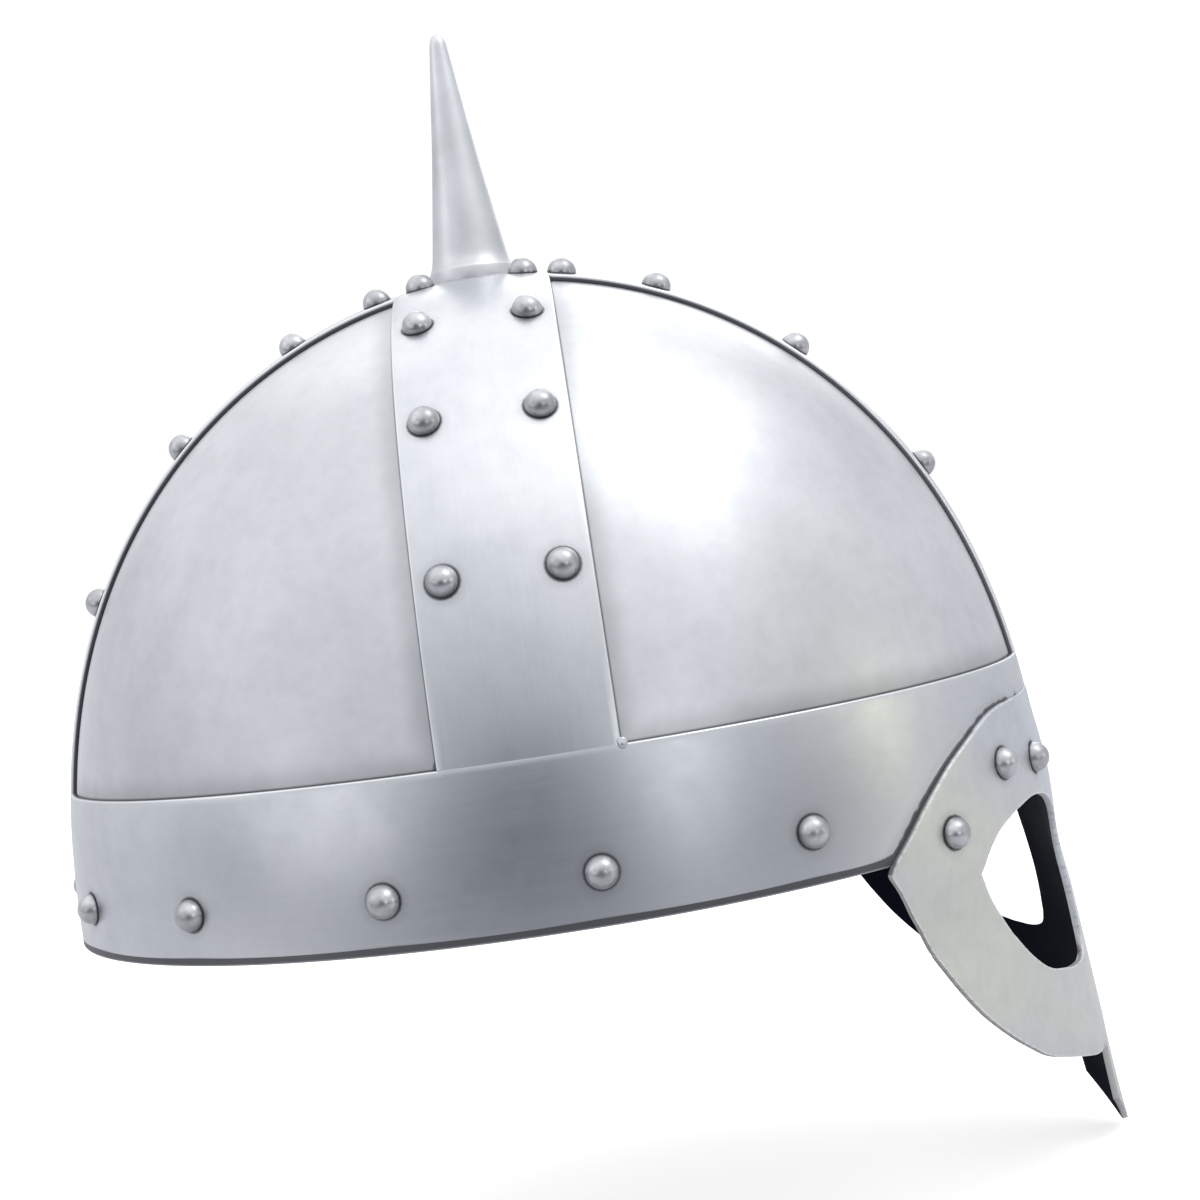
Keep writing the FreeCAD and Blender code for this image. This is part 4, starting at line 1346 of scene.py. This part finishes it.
def ring_place(angle, w, d):
    x = w * math.sin(angle)
    y = CROSSING_Y - w * math.cos(angle)
    z = bowl_height(x, y, RING_SKIN - d)
    return np.column_stack([x, y, z])


def ring_section(angle):
    return strip_section(*RING_RADII, TONGUE_SHEET, 12, LEATHER_EASE, LEATHER_EASE)


round_crown = list(np.linspace(0, 2 * math.pi, 96, endpoint=False))
crown_ring = sweep_strip("liner_leather_ring", round_crown, ring_section, ring_place, closed=True)
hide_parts("liner_crown_ring")
dress(crown_ring, "liner_leather", BAND_LEATHER)

# ---------------------------------------------------------------------------
# Stitching.  Saddle stitches of waxed linen thread: two rows fix the tongues
# to the head band, and one row fixes the crown ring to their ends.
# ---------------------------------------------------------------------------
STITCH_STEP = 0.0042
STITCH_INSET = 0.0001
STITCH_RISES = (0.045, 0.105)
STITCH_RING_RADIUS = 0.0335


def stitch_tree():
    """Short fat stitch on every point, lying along the point's heading."""
    inputs = (
        ("Geometry", "Geometry", None),
        ("Length", "Float", 0.0031),
        ("Thickness", "Float", 0.0009),
        ("Material", "Material", None),
    )
    outputs = (("Geometry", "Geometry", None),)
    tree, given, out = open_group("Saddle stitches", "GeometryNodeTree", inputs, outputs)
    bead = add_node(tree, "GeometryNodeMeshUVSphere", {"Segments": 8, "Rings": 6, "Radius": 0.5})
    size = {0: given["Thickness"], 1: given["Length"], 2: given["Thickness"]}
    size = add_node(tree, "ShaderNodeCombineXYZ", size).outputs[0]
    upright = {"Vector": named_attribute(tree, "seat_normal", "FLOAT_VECTOR")}
    upright = add_node(tree, "FunctionNodeAlignRotationToVector", upright, axis="Z").outputs[0]
    along = {"Rotation": upright, "Vector": named_attribute(tree, "heading", "FLOAT_VECTOR")}
    along = add_node(tree, "FunctionNodeAlignRotationToVector", along, axis="Y", pivot_axis="Z").outputs[0]
    laid = {"Points": given["Geometry"], "Instance": bead.outputs["Mesh"], "Rotation": along, "Scale": size}
    laid = add_node(tree, "GeometryNodeInstanceOnPoints", laid).outputs[0]
    close_tree(tree, laid, given["Material"], out)
    return tree


def thread_finish():
    """Waxed linen thread, off-white, with a faint twist."""
    material, tree, shader = new_material("Waxed thread")
    twist = noise(tree, add_node(tree, "ShaderNodeTexCoord").outputs["Object"], 1500.0, 2.0)
    tone = blended(tree, twist, (0.42, 0.35, 0.24, 1), (0.66, 0.58, 0.43, 1))
    tree.links.new(tone, shader.inputs["Base Color"])
    shader.inputs["Roughness"].default_value = 0.6
    return material


THREAD = thread_finish()
STITCH_TREE = stitch_tree()


def stitch_rows(name, rows):
    """Rows of stitches, each a list of points, lying on the leather that faces the head."""
    points, headings = [], []
    for row in rows:
        for i, point in enumerate(row):
            ahead = row[min(i + 1, len(row) - 1)]
            behind = row[max(i - 1, 0)]
            points.append(tuple(point))
            headings.append(tuple((Vector(ahead) - Vector(behind)).normalized()))
    layers = {"seat_normal": [-bowl_normal(point) for point in points], "heading": headings}
    made = stamped(name, name + "_holes", points, layers, STITCH_TREE, {"Material": THREAD})
    return dress(made, "liner_leather", THREAD)


def tongue_row(heading, rise_share):
    """Points across one tongue at a height, just inside its inner face."""
    count = int(2 * TONGUE_SPREAD * 0.105 / STITCH_STEP)
    depth = np.full(count, TONGUE_SHEET + STITCH_INSET)
    return tongue_place_at(heading)(rise_share, np.linspace(-0.9, 0.9, count), depth)


headings = [tongue_heading(index) for index in range(TONGUE_COUNT)]
sewn_rows = [tongue_row(heading, share) for heading in headings for share in STITCH_RISES]
stitch_rows("liner_tongue_stitches", sewn_rows)
count = int(2 * math.pi * STITCH_RING_RADIUS / STITCH_STEP)
radius, depth = np.array([STITCH_RING_RADIUS]), np.array([TONGUE_SHEET + STITCH_INSET])
turns = np.linspace(0, 2 * math.pi, count, endpoint=False)
stitch_rows("liner_ring_stitches", [[ring_place(turn, radius, depth)[0] for turn in turns]])

# ---------------------------------------------------------------------------
# Studio.  Pale floor, soft lights all round, and the camera on the wearer's
# right side, a little behind the eyes and rolled so that the brow dips back.
# ---------------------------------------------------------------------------
FLOOR_Z = -0.0932
FLOOR_REACH = 9

corners = [(x * FLOOR_REACH, y * FLOOR_REACH, FLOOR_Z) for x, y in ((-1, -1), (1, -1), (1, 1), (-1, 1))]
floor_mesh = bpy.data.meshes.new("floor")
floor_mesh.from_pydata(corners, [], [(0, 1, 2, 3)])
floor = bpy.data.objects.new("floor", floor_mesh)
scene.collection.objects.link(floor)
floor_paint, paint_tree, floor_shader = new_material("Floor, pale")
floor_shader.inputs["Roughness"].default_value = 0.95
floor_shader.inputs["Specular IOR Level"].default_value = 0.1
floor_shader.inputs["Emission Color"].default_value = (0.58, 0.58, 0.58, 1)
direct = add_node(paint_tree, "ShaderNodeLightPath").outputs["Is Camera Ray"]
ground = add_node(paint_tree, "ShaderNodeTexCoord").outputs["Object"]
across = add_node(paint_tree, "ShaderNodeSeparateXYZ", {0: ground}).outputs[0]
shady_side = ranged(paint_tree, across, (-0.60, -0.20), (1.0, 0.0))
bounce = blended(paint_tree, shady_side, (0.62, 0.62, 0.64, 1), (0.10, 0.11, 0.13, 1))
pale = blended(paint_tree, direct, bounce, (0.72, 0.72, 0.73, 1))
paint_tree.links.new(direct, floor_shader.inputs["Emission Strength"])
paint_tree.links.new(pale, floor_shader.inputs["Base Color"])
floor_mesh.materials.append(floor_paint)

# The room is brighter overhead, and has one dark doorway on the wearer's right.
DOORWAY = (-0.994, 0.085, -0.06)
world = bpy.data.worlds.new("Studio")
scene.world = world
world.use_nodes = True
room = world.node_tree
sky = room.nodes["Background"]
way = add_node(room, "ShaderNodeTexCoord").outputs["Generated"]
upward = add_node(room, "ShaderNodeSeparateXYZ", {0: way}).outputs[2]
dome = blended(room, ranged(room, upward, (0.25, 0.97)), (0.86, 0.88, 0.92, 1), (1.55, 1.57, 1.60, 1))
facing = add_node(room, "ShaderNodeVectorMath", {0: way, 1: DOORWAY}, operation="DOT_PRODUCT")
doorway = ranged(room, facing.outputs["Value"], (0.905, 0.994))
room.links.new(blended(room, doorway, dome, (0.03, 0.045, 0.08, 1)), sky.inputs["Color"])
sky.inputs["Strength"].default_value = 1.0
plain = add_node(room, "ShaderNodeBackground", {"Color": (1, 1, 1, 1), "Strength": 1.05})
direct = add_node(room, "ShaderNodeLightPath").outputs["Is Camera Ray"]
pick = add_node(room, "ShaderNodeMixShader", {0: direct, 1: sky.outputs[0], 2: plain.outputs[0]})
room.links.new(pick.outputs[0], room.nodes["World Output"].inputs["Surface"])


LAMP_AIM = Vector((0, 0, 0.05))


def soft_light(name, direction, distance, wide, high, power, colour=(1, 1, 1)):
    """Soft box aimed at the bowl."""
    lamp = bpy.data.lights.new(name, "AREA")
    lamp.shape = "RECTANGLE"
    lamp.size = wide
    lamp.size_y = high
    lamp.energy = power
    lamp.color = colour
    holder = bpy.data.objects.new(name, lamp)
    scene.collection.objects.link(holder)
    holder.location = LAMP_AIM + Vector(direction).normalized() * distance
    holder.rotation_mode = "QUATERNION"
    holder.rotation_quaternion = (LAMP_AIM - holder.location).to_track_quat("-Z", "Y")


soft_light("front_top", (-0.25, -0.50, 0.83), 1.4, 0.7, 0.7, 3.2)
soft_light("rear_side", (-0.25, 0.85, 0.45), 1.5, 0.7, 0.7, 0.8)
soft_light("front_side", (-0.905, -0.415, 0.02), 1.6, 0.22, 0.55, 1.0)
soft_light("rear_low", (-0.70, 0.71, 0.02), 1.6, 0.80, 0.50, 0.8)
soft_light("warm_side", (-0.34, -0.94, 0.03), 1.6, 0.30, 0.6, 0.9, (1.0, 0.95, 0.62))
soft_light("far_side", (0.9, -0.2, 0.5), 1.6, 1.0, 0.9, 4.0)

CAMERA_PLACE = (-0.52085, -0.01578, 0.08046)
CAMERA_ANGLES = (-0.264, -1.549, -8.536)

camera_data = bpy.data.cameras.new("camera")
camera = bpy.data.objects.new("camera", camera_data)
scene.collection.objects.link(camera)
scene.camera = camera
camera_data.sensor_width = 36.0
camera_data.lens = 58.84
camera_data.clip_start = 0.01
camera_data.clip_end = 60.0
azimuth, elevation, roll = (math.radians(angle) for angle in CAMERA_ANGLES)
ahead = Vector((math.cos(azimuth), math.sin(azimuth), 0)) * math.cos(elevation)
forward = ahead + Vector((0, 0, math.sin(elevation)))
level_right = forward.cross(Vector((0, 0, 1))).normalized()
level_up = level_right.cross(forward)
right_way = math.cos(roll) * level_right + math.sin(roll) * level_up
up_way = -math.sin(roll) * level_right + math.cos(roll) * level_up
turned = Matrix((right_way, up_way, -forward)).transposed().to_4x4()
camera.matrix_world = Matrix.Translation(CAMERA_PLACE) @ turned

scene.view_settings.view_transform = "Standard"
scene.view_settings.look = "None"
